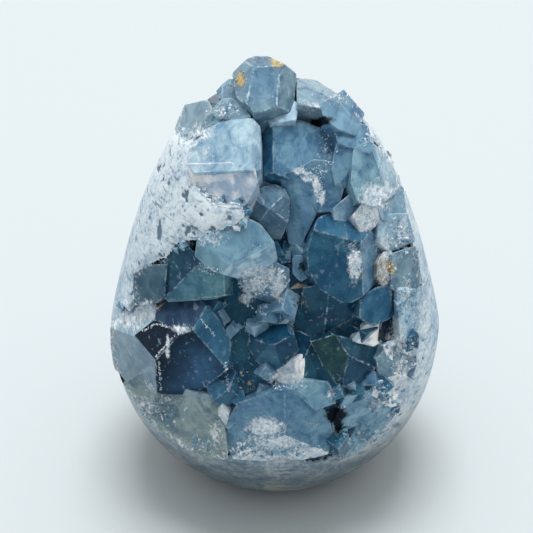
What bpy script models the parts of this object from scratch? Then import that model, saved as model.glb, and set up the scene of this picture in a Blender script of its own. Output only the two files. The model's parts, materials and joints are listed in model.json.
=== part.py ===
"""A celestite geode ground to the shape of an egg, standing upright on a small flat spot.

Two pieces. The matrix is the ground and polished stone that makes the egg, with a hollow broken
open on the front and through the tip. The crystal crust lines that hollow: blocky blue crystals
grown together into one solid, with their heads about level with the ground surface.

Sizes are millimetres until a mesh is written. The open face leans back, so its crystals are
placed in face coordinates: across (+X), up the face, and out of it towards the viewer.
"""
import math
import random
from collections import namedtuple

import bmesh
import bpy
from mathutils import Matrix, Vector

MM = 0.001

# The egg: a blunt lower half, a tapering upper half, and a flat ground on its underside
HALF_WIDTH = 37.5
DEPTH_RATIO = 0.95
EGG_HEIGHT = 95.5
WIDEST_AT = 37.5
LOWER_REACH = 42.5
LOWER_POWER = 2.23
UPPER_POWER = 1.05
UPPER_ROUND = 0.357
LOWER_RINGS = 9
UPPER_RINGS = 13
EGG_SIDES = 44

# The open face: where its frame sits on the egg's axis and how far it leans back from upright
FACE_CENTRE = Vector((0, 0, 45))
FACE_LEAN = math.radians(35)
ACROSS = Vector((1, 0, 0))
UP = Vector((0, math.sin(FACE_LEAN), math.cos(FACE_LEAN)))
OUT = Vector((0, -math.cos(FACE_LEAN), math.sin(FACE_LEAN)))
FACE_AXES = Matrix((ACROSS, UP, OUT)).transposed()

# The hollow: its mouth on the face, how deep it goes, and the core of stone left behind it
MOUTH = [
    (-21.5, 34), (-20, 39.5), (-15.5, 47), (-11, 50.5), (-6.5, 54.5), (0, 55), (5.5, 52.5),
    (9.5, 49), (14.5, 42.5), (18, 37.5), (20, 32), (24.5, 28), (27, 22.5), (27.5, 16.5),
    (29.5, 10), (30.5, 5), (31.5, 0), (30.5, -5), (30.5, -12), (30, -18), (28.5, -24),
    (24, -30), (17.5, -36), (9, -37.5), (-2, -37), (-10.5, -36.5), (-18.5, -35.5), (-26, -30.5),
    (-31, -24), (-35, -20.5), (-36.5, -14.5), (-36, -9), (-33, -4.5), (-29.5, -2.5),
    (-30.5, 2.5), (-27, 5), (-23, 6), (-20.5, 9), (-17, 9.5), (-14, 10.5), (-9, 12.5),
    (-6, 14), (-6.5, 17), (-12.5, 17.5), (-16, 20.5), (-17.5, 25), (-17, 29), (-14, 32),
    (-18.5, 31),
]
BACK_OUT = 2
BACK_RISE = 0.28
FRONT_OUT = 60
CORE_RADII = (24, 33, 20)
GAP = 0.3

# The crust: a druse that lines the hollow, with small crystals in the gaps between large ones
LINING_CENTRE = Vector((1.5, 1, 0))
LINING_RADII = (37, 46.5, 25.5)
SMALL_COUNT = 60
SMALL_CLEAR = 1.5
SMALL_SUNK = 1
SMALL_WIDTH = (3, 6)
SMALL_DEPTH_SHARE = (0.6, 1.0)
SMALL_LENGTH_SHARE = (1.2, 1.7)
SMALL_CHISEL = (35, 60)
SMALL_CHISEL_AT = 0.45
SMALL_LEAN = 0.5
SMALL_SEED = 7

# How a large crystal's column stands: room above its facets, straight neck, narrower root
HEAD_ROOM = 4
NECK_DROP = 1
ROOT_SCALE = 0.75

# Roundness of the guides, the sharpest corner an inset follows, and slack for points that meet
SHARPEST_CORNER = 0.5
CORE_SEGMENTS = 28
LINING_SEGMENTS = 24
MERGE_MM = 0.01
CUT_SLACK_MM = 0.001
FLAT_ANGLE = math.radians(1)
SMOOTH_ANGLE = math.radians(30)

# A large crystal: how deep it is rooted, its outline on the face as (across, up), and the flat
# facets that cut its head, each a place (across, up, out) and its lean to the side and upward
Crystal = namedtuple("Crystal", "name root outline facets")
CRYSTALS = [
    Crystal("crown", 16,
            [(-9, 45), (-7, 46.5), (-6, 48), (-4.5, 49), (-1.5, 49), (1.5, 47), (4.5, 45), (4, 40.5),
             (1, 39.5), (-1.5, 38.5), (-3, 36.5), (-4.5, 36.5), (-7, 40), (-8.5, 43)],
            [(-3, 42, 32, 5, 25), (2, 43, 29.5, 55, 20), (-3, 48, 25.5, 0, 65), (-7, 44, 28.5, -50, 35)]),
    Crystal("crown_chip", 10,
            [(-12.5, 42), (-11.5, 43.5), (-10, 45), (-8, 45), (-6, 44), (-6, 40), (-9.5, 39.5)],
            [(-9, 42, 22.5, -30, 45), (-10, 43, 20.5, -20, 60)]),
    Crystal("left_block", 8,
            [(-21.5, 34), (-20.5, 37), (-19.5, 39.5), (-14, 39.5), (-12.5, 36), (-13.5, 33), (-19.5, 31)],
            [(-16, 36, 26.5, -60, 45)]),
    Crystal("left_peak", 8,
            [(-15.5, 34.5), (-12.5, 38), (-11, 39.5), (-9, 39.5), (-7.5, 38.5), (-5, 35.5), (-8, 33.5),
             (-15.5, 32)],
            [(-10, 37, 30, -25, 35), (-10, 34, 32, -15, -15)]),
    Crystal("pale_block", 12,
            [(-18, 29.5), (-15, 32.5), (-11.5, 34), (-8, 34.5), (-4.5, 34.5), (-3, 33), (-3, 25.5),
             (-4.5, 24), (-9, 24.5), (-18, 25.5)],
            [(-9, 29, 35.5, -20, 15), (-3.5, 29, 35.5, 50, 15), (-12, 31, 34, -30, 35)]),
    Crystal("violet_face", 10,
            [(-18, 25.5), (-9, 25.5), (-4, 24), (-3.5, 22), (-5, 19.5), (-7, 17), (-13.5, 16.5),
             (-17.5, 20)],
            [(-11, 22, 35, -20, -15)]),
    Crystal("smoky_bud", 8,
            [(-6.5, 18), (-4, 20.5), (0, 21.5), (2, 20.5), (3, 18.5), (3, 15), (1.5, 12), (-2, 11.5),
             (-5.5, 14.5)],
            [(-2, 20, 31, -10, 30), (-5, 16, 30, -40, -20), (2, 16, 31.5, 30, -10), (-1, 13, 30, 0, -45)]),
    Crystal("tall_block", 12,
            [(-2.5, 35), (0, 36), (4, 35.5), (9, 33.5), (12.5, 30.5), (12, 25), (8.5, 23), (3.5, 23),
             (-2.5, 25)],
            [(5, 30, 30.5, 15, 10), (-2, 30, 30, -50, 10), (3, 34.5, 29.5, 10, 55)]),
    Crystal("pale_cap", 9,
            [(-2.5, 37.5), (-0.5, 39.5), (3.5, 39.5), (5, 38), (4.5, 35.5), (-1, 34.5)],
            [(1, 37, 29.5, -5, 40)]),
    Crystal("inner_slab", 8,
            [(-3.5, 25.5), (3, 26), (2.5, 18.5), (-2.5, 18.5), (-4.5, 22.5)],
            [(-1, 23, 29, -5, -10)]),
    Crystal("long_wedge", 12,
            [(1.5, 23.5), (4, 24), (9.5, 20), (9.5, 17), (6, 10), (3.5, 12), (2, 18)],
            [(4, 17, 30.5, -30, -25), (7, 17, 30.5, 15, -15)]),
    Crystal("oval_bead", 8,
            [(13, 30.5), (16, 29.5), (17.5, 27), (17.5, 24.5), (16, 22.5), (13, 22), (12, 25.5)],
            [(15, 27, 30.5, 25, 0), (16, 24, 29.5, 45, -20)]),
    Crystal("white_vein", 8,
            [(4.5, 24.5), (8, 26.5), (12.5, 26), (14.5, 21.5), (13.5, 17.5), (9.5, 17)],
            [(10, 22, 31, 10, -10)]),
    Crystal("tip_left", 10,
            [(4.5, 44), (6.5, 45), (9, 45), (12, 42.5), (14, 41), (10.5, 37), (7.5, 37.5), (4.5, 37.5)],
            [(8, 40, 28, 25, 55), (8, 44, 21, 30, 70), (12, 41, 22.5, 50, 70)]),
    Crystal("tip_right", 8,
            [(9.5, 38), (14.5, 42), (19, 37), (17.5, 33), (13, 33), (10, 34.5)],
            [(13, 36, 29.5, 45, 40)]),
    Crystal("side_blue", 8,
            [(12.5, 33.5), (15.5, 35.5), (19.5, 34), (21, 29.5), (13, 30)],
            [(15, 33, 29, 35, 30)]),
    Crystal("side_pale", 9,
            [(16.5, 29), (20, 31), (24.5, 28), (27, 22.5), (25.5, 20), (21.5, 17.5), (17, 18), (15.5, 21.5)],
            [(19, 25, 29, 45, 10), (23, 24, 24.5, 60, 25)]),
    Crystal("side_notch", 8,
            [(12.5, 17), (15.5, 19.5), (17.5, 19.5), (18, 17.5), (16, 15), (13, 15)],
            [(15, 18, 29.5, 30, -15)]),
    Crystal("rim_slate", 8,
            [(21, 17.5), (26, 23), (29, 20), (28.5, 14.5), (22.5, 14.5)],
            [(24, 18, 24, 55, 15)]),
    Crystal("white_tooth", 8,
            [(16.5, 15.5), (18.5, 18), (22, 17.5), (22, 14), (19.5, 11.5)],
            [(19, 15, 29, 35, -15)]),
    Crystal("shield", 12,
            [(8, 12), (9.5, 15), (13, 16), (17.5, 14), (20.5, 12), (22, 8.5), (21.5, 1), (18, -2),
             (16, -3), (10.5, 0), (7.5, 4), (7, 8)],
            [(13, 5, 30.5, 10, -15), (13, 13, 30, 25, 40), (21, 5, 24.5, 60, -10)]),
    Crystal("clear_slab", 10,
            [(-10.5, 12), (-6, 14.5), (-3, 13), (0, 9), (0.5, 7), (-1, 5.5), (-9, 2.5), (-13, 3.5),
             (-16.5, 6.5), (-16, 10)],
            [(-8, 9, 36, -15, 5), (-5, 4, 33.5, 25, -55), (-14, 6, 33.5, -35, -25)]),
    Crystal("frost_clump", 8,
            [(-8.5, 2.5), (-5, 4), (0, 5.5), (3, 4), (3, 0), (0, -4.5), (-3.5, -4.5), (-5.5, -1.5)],
            [(-4, 2, 28, -20, -40), (1, 2, 28.5, 35, -30)]),
    Crystal("teal_block", 10,
            [(-23.5, 5), (-21, 8.5), (-19, 9), (-16, 6), (-13, 4.5), (-10.5, 3), (-11, -1.5),
             (-14.5, -2.5), (-22.5, -3), (-24.5, -1)],
            [(-20, 6, 28, -40, -10), (-16, 1, 29, -25, -30)]),
    Crystal("smoky_chip", 8,
            [(-30.5, 3), (-27, 5), (-22.5, 5), (-24, -2), (-27, -3.5), (-30.5, -3.5)],
            [(-26, 1, 22.5, -45, -10)]),
    Crystal("big_block", 14,
            [(-37, -9.5), (-34, -4.5), (-28.5, -3), (-24, -2.5), (-18.5, -2.5), (-15, -4.5),
             (-13, -7.5), (-11, -13), (-12, -19), (-15, -21.5), (-20, -23), (-25.5, -23), (-31.5, -22.5),
             (-36.5, -18)],
            [(-24, -11, 22.5, -45, 0), (-23, -15, 22, -15, -35), (-27, -16, 18, -60, -35),
             (-15, -17, 24, 0, -30), (-13, -10, 26, 25, -5), (-22, -5, 22.5, -35, 30),
             (-34, -14, 9.5, -65, -30), (-28, -8.5, 18.5, -55, 30)]),
    Crystal("dome", 10,
            [(-6, -12), (-5, -10), (-2.5, -8.5), (1.5, -8), (4, -9.5), (5, -13), (2.5, -16), (0, -17.5),
             (-4, -15.5)],
            [(-1, -10, 26.5, -20, 45), (-4, -13, 25, -40, -30), (3, -13, 26, 30, -35),
             (-1, -15, 25, -20, -45)]),
    Crystal("dome_crest", 8,
            [(-3, -8.5), (-2, -6.5), (0, -5.5), (3, -5.5), (3, -7), (1, -9)],
            [(0, -7, 24.5, -15, 5)]),
    Crystal("dome_side", 8,
            [(2.5, -13), (5, -9.5), (8, -11), (6.5, -14.5), (2, -17.5)],
            [(4, -13, 23.5, -10, -10)]),
    Crystal("mid_stalk", 8,
            [(3, -3), (5.5, -1.5), (8.5, -10.5), (5, -10.5), (2.5, -7)],
            [(5, -5, 22.5, -5, -10)]),
    Crystal("under_slab", 10,
            [(6.5, 0), (10.5, 1), (16, -2.5), (19, -2), (18.5, -5), (13, -8.5), (9, -10.5), (6.5, -6.5)],
            [(9, -5, 26, -25, -25), (14, -5, 25, 30, -30)]),
    Crystal("cube_right", 10,
            [(18.5, -2.5), (20.5, -1), (24, 0.5), (27.5, -1.5), (27, -4), (24.5, -6.5), (21, -8),
             (18.5, -6.5)],
            [(22, -3, 24, 30, -10), (26, -3, 20.5, 55, -10)]),
    Crystal("mirror", 8,
            [(17, -11.5), (19.5, -8.5), (23, -7), (23, -11.5), (21, -12.5)],
            [(21, -10, 21.5, 30, -15)]),
    Crystal("mirror_side", 8,
            [(23, -7), (25.5, -5.5), (28, -6.5), (28, -11.5), (23, -12)],
            [(25, -9, 19, 45, -15)]),
    Crystal("cone", 10,
            [(8, -12), (12.5, -10), (17, -11.5), (22, -13.5), (22, -16.5), (20, -19.5), (14, -21.5),
             (12, -19.5)],
            [(12, -15, 24, -10, -30), (18, -14, 22.5, 45, 10), (17, -18, 21.5, 30, -35)]),
    Crystal("cone_foot", 8,
            [(6, -15.5), (8.5, -12.5), (13.5, -21), (13, -23), (6.5, -21)],
            [(9, -17, 22.5, 0, -15)]),
    Crystal("clear_step", 8,
            [(-4, -20.5), (-2, -18), (3.5, -16.5), (5.5, -15), (6.5, -15), (6.5, -21.5), (-2, -22)],
            [(2, -19, 22.5, -5, -15), (6, -18, 22.5, 35, -15)]),
    Crystal("small_pale", 8,
            [(4, -22), (6.5, -21), (12.5, -22), (13, -24.5), (8.5, -26)],
            [(8, -23, 22.5, 15, -5)]),
    Crystal("roof", 12,
            [(-11, -32), (-8.5, -27), (-4.5, -24.5), (0.5, -21.5), (4, -21.5), (8.5, -26), (12.5, -31),
             (11.5, -36), (3, -38), (-9, -37)],
            [(-3, -28, 21.5, -15, -20), (6, -28, 21, 25, -20), (2, -34, 18.5, 5, -50)]),
    Crystal("spear", 8,
            [(-11.5, -25), (-10, -27.5), (-11, -31.5), (-13.5, -36), (-15, -32.5), (-13.5, -28)],
            [(-13, -30, 18.5, -55, -10), (-12, -30, 18.5, -35, -30)]),
    Crystal("left_base", 9,
            [(-33.5, -21), (-11.5, -23), (-10.5, -32.5), (-10.5, -37), (-18.5, -37), (-28, -31)],
            [(-19, -27, 16, -35, -25)]),
    Crystal("right_base", 9,
            [(15, -23.5), (22.5, -22.5), (25.5, -25), (27, -28.5), (20.5, -36), (14, -38), (13, -30.5)],
            [(17, -27, 17, 25, -35), (22, -28, 14.5, 40, -40)]),
    Crystal("side_a", 8,
            [(22, -15.5), (25, -13), (31, -15.5), (30, -20), (23.5, -20)],
            [(25, -17, 18, 35, -15)]),
    Crystal("side_b", 8,
            [(22, -20.5), (30, -20), (29, -25.5), (24.5, -26), (21.5, -24)],
            [(24, -22, 17, 35, -30)]),
    Crystal("side_c", 8,
            [(23.5, -12.5), (31, -11), (31, -15.5), (25.5, -16)],
            [(26, -14, 18, 40, -15)]),
    Crystal("ochre_bead", 8,
            [(22, 5.5), (24, 8), (26, 7), (27, 3.5), (24, 0.5), (22, 2.5)],
            [(24, 4, 23.5, 45, -5)]),
    Crystal("rim_stone", 8,
            [(25, 7.5), (31.5, 9.5), (32, 1.5), (29, -2), (25, 0)],
            [(27, 2, 21.5, 50, -5)]),
    Crystal("rim_upper", 9,
            [(22, 15.5), (29, 16), (30, 10), (25.5, 8), (21.5, 10)],
            [(25, 12, 23.5, 45, -5), (28, 12, 21.5, 55, -5)]),
    Crystal("rim_lower", 9,
            [(26, 0), (33, 0.5), (32, -12.5), (28.5, -12), (26.5, -4)],
            [(28, -4, 20, 55, -10)]),
    Crystal("low_gap", 7,
            [(-11, -11.5), (-5.5, -11), (-3, -16.5), (-3, -21.5), (-8, -23), (-11, -19)],
            [(-7, -17, 21, -10, -10)]),
    Crystal("teal_slope", 8,
            [(-11.5, 2), (-7.5, 3), (-3.5, 0.5), (-2.5, -6.5), (-5.5, -10), (-10, -6.5)],
            [(-7, -2, 24, 0, -20)]),
    Crystal("brown_plug", 7,
            [(3, -0.5), (5, 1), (7.5, 0.5), (8, -2), (6, -5), (4, -4.5)],
            [(5, -2, 24, 5, -20)]),
    Crystal("dark_plug", 7,
            [(4, 7), (7.5, 6.5), (8, 3), (6, 1.5), (4, 3.5)],
            [(6, 5, 27.5, -10, -15)]),
]


def clear_scene():
    for item in list(bpy.data.objects):
        bpy.data.objects.remove(item, do_unlink=True)


def stone_material(name, colour, roughness, transmission=0.0):
    material = bpy.data.materials.new(name)
    material.use_nodes = True
    shader = material.node_tree.nodes["Principled BSDF"]
    shader.inputs["Base Color"].default_value = (*colour, 1)
    shader.inputs["Metallic"].default_value = 0
    shader.inputs["Roughness"].default_value = roughness
    shader.inputs["Transmission Weight"].default_value = transmission
    material.diffuse_color = (*colour, 1)
    return material


def face_point(across, up, out):
    """A place given on the face, in the egg's own millimetres."""
    return FACE_CENTRE + ACROSS * across + UP * up + OUT * out


def mesh_object(name, bm, material=None):
    """Writes a mesh built in millimetres to an object in metres."""
    bmesh.ops.scale(bm, vec=(MM, MM, MM), verts=bm.verts)
    bmesh.ops.recalc_face_normals(bm, faces=bm.faces)
    mesh = bpy.data.meshes.new(name)
    bm.to_mesh(mesh)
    bm.free()
    item = bpy.data.objects.new(name, mesh)
    bpy.context.collection.objects.link(item)
    if material:
        mesh.materials.append(material)
    else:
        item.hide_render = True
        item.display_type = "WIRE"
    return item


def boolean(item, other, operation, overlapping=False):
    modifier = item.modifiers.new(operation.title(), "BOOLEAN")
    modifier.operation = operation
    modifier.solver = "EXACT"
    modifier.use_self = overlapping
    modifier.object = other


def egg_radius(height):
    if height < WIDEST_AT:
        drop = (WIDEST_AT - height) / LOWER_REACH
        return HALF_WIDTH * math.sqrt(1 - drop ** LOWER_POWER)
    rise = (height - WIDEST_AT) / (EGG_HEIGHT - WIDEST_AT)
    return HALF_WIDTH * max(0, 1 - rise ** UPPER_POWER) ** UPPER_ROUND


def egg_mesh():
    """Half the egg's outline, spun round its upright axis and slimmed front to back."""
    heights = [WIDEST_AT * (1 - math.cos(math.pi / 2 * i / LOWER_RINGS)) for i in range(LOWER_RINGS)]
    upper = EGG_HEIGHT - WIDEST_AT
    heights += [WIDEST_AT + upper * math.sin(math.pi / 2 * i / UPPER_RINGS) for i in range(UPPER_RINGS)]
    outline = [(0, 0)] + [(egg_radius(z), z) for z in heights] + [(0, EGG_HEIGHT)]
    bm = bmesh.new()
    points = [bm.verts.new((x, 0, z)) for x, z in outline]
    edges = [bm.edges.new(pair) for pair in zip(points, points[1:])]
    bmesh.ops.spin(bm, geom=points + edges, cent=(0, 0, 0), axis=(0, 0, 1), dvec=(0, 0, 0),
                   angle=2 * math.pi, steps=EGG_SIDES, use_merge=True, use_duplicate=False)
    bmesh.ops.remove_doubles(bm, verts=bm.verts, dist=MERGE_MM)
    bmesh.ops.scale(bm, vec=(1, DEPTH_RATIO, 1), verts=bm.verts)
    return bm


def inset_outline(outline, margin):
    """The same outline with every side moved inward by the margin."""
    area = sum(a[0] * b[1] - b[0] * a[1] for a, b in zip(outline, outline[1:] + outline[:1]))
    inward = 1 if area > 0 else -1
    moved = []
    for i, point in enumerate(outline):
        here = Vector(point)
        before = (here - Vector(outline[i - 1])).normalized()
        after = (Vector(outline[(i + 1) % len(outline)]) - here).normalized()
        normal = Vector((-before.y - after.y, before.x + after.x)).normalized() * inward
        slant = normal.dot(Vector((-before.y, before.x)) * inward)
        moved.append(tuple(here + normal * margin / max(slant, SHARPEST_CORNER)))
    return moved


def prism_mesh(outline, back_shift):
    """The mouth's outline carried straight back from the front to the leaning back plane."""
    bm = bmesh.new()
    back = [bm.verts.new(face_point(a, u, BACK_OUT + back_shift + BACK_RISE * u)) for a, u in outline]
    front = [bm.verts.new(face_point(a, u, FRONT_OUT)) for a, u in outline]
    bm.faces.new(back)
    bm.faces.new(front)
    for i in range(len(outline)):
        bm.faces.new((back[i - 1], back[i], front[i], front[i - 1]))
    return bm


def ellipsoid_mesh(centre, radii, segments):
    bm = bmesh.new()
    bmesh.ops.create_uvsphere(bm, u_segments=segments, v_segments=segments // 2, radius=1)
    bmesh.ops.scale(bm, vec=radii, verts=bm.verts)
    bmesh.ops.rotate(bm, cent=(0, 0, 0), matrix=FACE_AXES, verts=bm.verts)
    bmesh.ops.translate(bm, vec=face_point(*centre), verts=bm.verts)
    return bm


def hollow(name, margin):
    """The hollow's space: the mouth's prism less the core of stone that the hollow bends around."""
    radii = [radius + margin for radius in CORE_RADII]
    core = mesh_object(name + "_core", ellipsoid_mesh((0, 0, 0), radii, CORE_SEGMENTS))
    space = mesh_object(name, prism_mesh(inset_outline(MOUTH, margin), margin))
    boolean(space, core, "DIFFERENCE")
    return space


def cut_flat(bm, place, normal):
    """Cuts a facet: all that stands in front of the plane goes, and the cut is closed."""
    geometry = bm.verts[:] + bm.edges[:] + bm.faces[:]
    cut = bmesh.ops.bisect_plane(bm, geom=geometry, plane_co=place, plane_no=normal, clear_outer=True,
                                 dist=CUT_SLACK_MM)
    rim = [part for part in cut["geom_cut"] if isinstance(part, bmesh.types.BMEdge)]
    if rim:
        bmesh.ops.holes_fill(bm, edges=rim, sides=0)


def facet_normal(lean_side, lean_up):
    slope_side = math.tan(math.radians(lean_side))
    slope_up = math.tan(math.radians(lean_up))
    return (ACROSS * slope_side + UP * slope_up + OUT).normalized()


def facet_out(facet, across, up):
    """How far out a facet's plane lies at a place on the face."""
    at_across, at_up, out, lean_side, lean_up = facet
    fall_side = math.tan(math.radians(lean_side)) * (across - at_across)
    fall_up = math.tan(math.radians(lean_up)) * (up - at_up)
    return out - fall_side - fall_up


def crystal_mesh(crystal):
    """A column of the crystal's outline, narrowing to its root, with its head cut into facets."""
    outline = crystal.outline
    heads = [min(facet_out(facet, a, u) for facet in crystal.facets) for a, u in outline]
    middle = Vector([sum(values) / len(outline) for values in zip(*outline)])
    head = max(facet[2] for facet in crystal.facets) + HEAD_ROOM
    neck = min(heads) - NECK_DROP
    centre = face_point(middle.x, middle.y, neck)
    towards_axis = (FACE_CENTRE - centre).normalized() * crystal.root
    rings = [face_point(a, u, head) for a, u in outline]
    rings += [face_point(a, u, neck) for a, u in outline]
    for a, u in outline:
        corner = face_point(a, u, neck)
        rings.append(centre + (corner - centre) * ROOT_SCALE + towards_axis)
    bm = bmesh.new()
    hull = bmesh.ops.convex_hull(bm, input=[bm.verts.new(point) for point in rings])
    spare = [v for v in hull["geom_interior"] + hull["geom_unused"] if isinstance(v, bmesh.types.BMVert)]
    bmesh.ops.delete(bm, geom=list(set(spare)), context="VERTS")
    bmesh.ops.dissolve_limit(bm, angle_limit=FLAT_ANGLE, verts=bm.verts, edges=bm.edges)
    for across, up, out, lean_side, lean_up in crystal.facets:
        cut_flat(bm, face_point(across, up, out), facet_normal(lean_side, lean_up))
    return bm


def inside_outline(outline, across, up):
    inside = False
    for (a0, u0), (a1, u1) in zip(outline, outline[1:] + outline[:1]):
        if (u0 > up) != (u1 > up) and across < a0 + (up - u0) * (a1 - a0) / (u1 - u0):
            inside = not inside
    return inside


def lining_out(across, up):
    """How far out the lining stands at a place on the face."""
    part_across = (across - LINING_CENTRE.x) / LINING_RADII[0]
    part_up = (up - LINING_CENTRE.y) / LINING_RADII[1]
    return LINING_RADII[2] * math.sqrt(max(1 - part_across ** 2 - part_up ** 2, 0))


def small_crystal_mesh(chance, across, up):
    """A stubby block with a chisel head, standing on the lining and leaning a little."""
    foot = face_point(across, up, lining_out(across, up) - SMALL_SUNK)
    width = chance.uniform(*SMALL_WIDTH)
    depth = width * chance.uniform(*SMALL_DEPTH_SHARE)
    length = width * chance.uniform(*SMALL_LENGTH_SHARE)
    bm = bmesh.new()
    bmesh.ops.create_cube(bm, size=1)
    bmesh.ops.scale(bm, vec=(width, depth, length), verts=bm.verts)
    for side in (-1, 1):
        lean = math.radians(chance.uniform(*SMALL_CHISEL)) * side
        cut_flat(bm, (0, 0, length * SMALL_CHISEL_AT), (math.sin(lean), 0, math.cos(lean)))
    leaning = Vector([chance.uniform(-SMALL_LEAN, SMALL_LEAN) for _ in range(3)])
    outward = (foot - FACE_CENTRE).normalized() + leaning
    spin = Matrix.Rotation(chance.uniform(0, math.pi), 3, "Z")
    turn = outward.to_track_quat("Z", "Y").to_matrix() @ spin
    bmesh.ops.rotate(bm, cent=(0, 0, 0), matrix=turn, verts=bm.verts)
    bmesh.ops.translate(bm, vec=foot, verts=bm.verts)
    return bm


def add_mesh(target, source):
    """Copies one mesh into another."""
    copies = {vertex: target.verts.new(vertex.co) for vertex in source.verts}
    for face in source.faces:
        target.faces.new([copies[vertex] for vertex in face.verts])
    source.free()


def keep_largest_body(item, material):
    """Settles an object's modifiers and drops the crumbs that the hollow's walls cut off."""
    shape = item.evaluated_get(bpy.context.evaluated_depsgraph_get())
    bm = bmesh.new()
    bm.from_mesh(shape.to_mesh())
    bmesh.ops.remove_doubles(bm, verts=bm.verts, dist=MERGE_MM * MM)
    bmesh.ops.triangulate(bm, faces=bm.faces)
    bodies = []
    waiting = set(bm.faces)
    while waiting:
        body = [waiting.pop()]
        for face in body:
            for edge in face.edges:
                for other in edge.link_faces:
                    if other in waiting:
                        waiting.remove(other)
                        body.append(other)
        bodies.append(body)
    bodies.sort(key=len)
    crumbs = [face for body in bodies[:-1] for face in body]
    bmesh.ops.delete(bm, geom=crumbs, context="FACES")
    item.modifiers.clear()
    bm.to_mesh(item.data)
    print(item.name, "triangles", len(bm.faces), "crumbs dropped", len(bodies) - 1)
    bm.free()
    item.data.materials.clear()
    item.data.materials.append(material)


def build_matrix():
    """The ground stone egg with the hollow taken out of its front."""
    stone = stone_material("ground_matrix", (0.52, 0.58, 0.63), 0.42)
    matrix = mesh_object("matrix", egg_mesh(), stone)
    boolean(matrix, hollow("hollow_space", 0), "DIFFERENCE")
    keep_largest_body(matrix, stone)
    matrix.data.shade_smooth()
    matrix.data.set_sharp_from_angle(angle=SMOOTH_ANGLE)


def build_crust():
    """All the crystals and the druse they stand on, joined in one solid a hair clear of the stone."""
    blue = stone_material("celestite", (0.20, 0.33, 0.46), 0.12, 0.6)
    bm = ellipsoid_mesh(LINING_CENTRE, LINING_RADII, LINING_SEGMENTS)
    for crystal in CRYSTALS:
        add_mesh(bm, crystal_mesh(crystal))
    chance = random.Random(SMALL_SEED)
    room = inset_outline(MOUTH, SMALL_CLEAR)
    placed = 0
    while placed < SMALL_COUNT:
        across = chance.uniform(-HALF_WIDTH, HALF_WIDTH)
        up = chance.uniform(-HALF_WIDTH, EGG_HEIGHT / 2)
        covered = any(inside_outline(crystal.outline, across, up) for crystal in CRYSTALS)
        if inside_outline(room, across, up) and not covered:
            add_mesh(bm, small_crystal_mesh(chance, across, up))
            placed += 1
    crust = mesh_object("crystal_crust", bm, blue)
    boolean(crust, hollow("crust_space", GAP), "INTERSECT", overlapping=True)
    keep_largest_body(crust, blue)


clear_scene()
build_matrix()
build_crust()
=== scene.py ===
# %% [markdown]
# # Celestite geode, ground to an egg
# A celestite geode is a hollow lump of pale stone whose inside is lined with blocky, sky-blue
# crystals of strontium sulphate. This one has been ground and polished to an egg on its outside,
# and its front has been broken open, so the crystals look forward and up. It stands by itself on
# a small flat spot. The script builds two pieces round a fixed frame of solids: the ground stone
# and the crust of crystals. Every size in it is in millimetres until a mesh is written.

# %% The frame
import json
import math
import random
from collections import namedtuple
import bmesh
import bpy
import numpy as np
from mathutils import Matrix, Vector, noise
from mathutils.bvhtree import BVHTree

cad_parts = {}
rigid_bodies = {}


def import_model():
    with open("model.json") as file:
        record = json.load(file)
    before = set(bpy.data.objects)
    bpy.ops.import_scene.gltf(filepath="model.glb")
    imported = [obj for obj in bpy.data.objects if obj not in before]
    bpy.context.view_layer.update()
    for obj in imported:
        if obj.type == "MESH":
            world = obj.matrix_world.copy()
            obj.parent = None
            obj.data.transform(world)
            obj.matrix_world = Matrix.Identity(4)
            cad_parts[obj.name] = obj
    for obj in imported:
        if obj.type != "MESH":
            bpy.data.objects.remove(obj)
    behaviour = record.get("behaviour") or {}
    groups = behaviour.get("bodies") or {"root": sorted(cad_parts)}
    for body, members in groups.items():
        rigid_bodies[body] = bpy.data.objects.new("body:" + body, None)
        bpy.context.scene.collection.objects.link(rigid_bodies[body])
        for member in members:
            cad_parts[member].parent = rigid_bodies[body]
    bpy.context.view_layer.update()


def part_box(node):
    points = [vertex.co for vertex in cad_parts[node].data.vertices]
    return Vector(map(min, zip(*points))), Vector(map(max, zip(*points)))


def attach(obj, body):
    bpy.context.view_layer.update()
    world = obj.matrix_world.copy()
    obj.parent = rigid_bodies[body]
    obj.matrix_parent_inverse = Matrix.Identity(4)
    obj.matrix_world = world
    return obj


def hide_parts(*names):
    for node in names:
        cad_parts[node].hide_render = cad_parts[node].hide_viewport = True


for item in list(bpy.data.objects):
    bpy.data.objects.remove(item, do_unlink=True)
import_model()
MM = 0.001
low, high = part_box("matrix")
print("stone", [round((b - a) / MM, 1) for a, b in zip(low, high)], "mm")

# %% [markdown]
# The open face leans back 35 degrees. Crystals are easier to draw on a flat table, so they are
# all made lying in face coordinates: x across, y up the face, z out of it. One matrix then
# stands the finished crust up in the egg.

# %% Face coordinates
FACE_LEAN = math.radians(35)
FACE_CENTRE = Vector((0, 0, 45)) * MM
ACROSS = Vector((1, 0, 0))
UP = Vector((0, math.sin(FACE_LEAN), math.cos(FACE_LEAN)))
OUT = Vector((0, -math.cos(FACE_LEAN), math.sin(FACE_LEAN)))
FACE = Matrix.Translation(FACE_CENTRE) @ Matrix((ACROSS, UP, OUT)).transposed().to_4x4()
print("face frame ready, leaning", round(math.degrees(FACE_LEAN)), "degrees")

# %% [markdown]
# The camera comes first, because everything is judged through it. It looks straight down the
# face's own axis from about arm's length, and a small shift puts the egg where the picture has it.

# %% Camera
IMAGE_SIZE = 533
FOCAL_PIXELS = 1547
EGG_CENTRE_PIXEL = (275, 288)
CAMERA_DISTANCE = 0.350
SENSOR = 36
NEAREST_SEEN = 0.01

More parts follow.
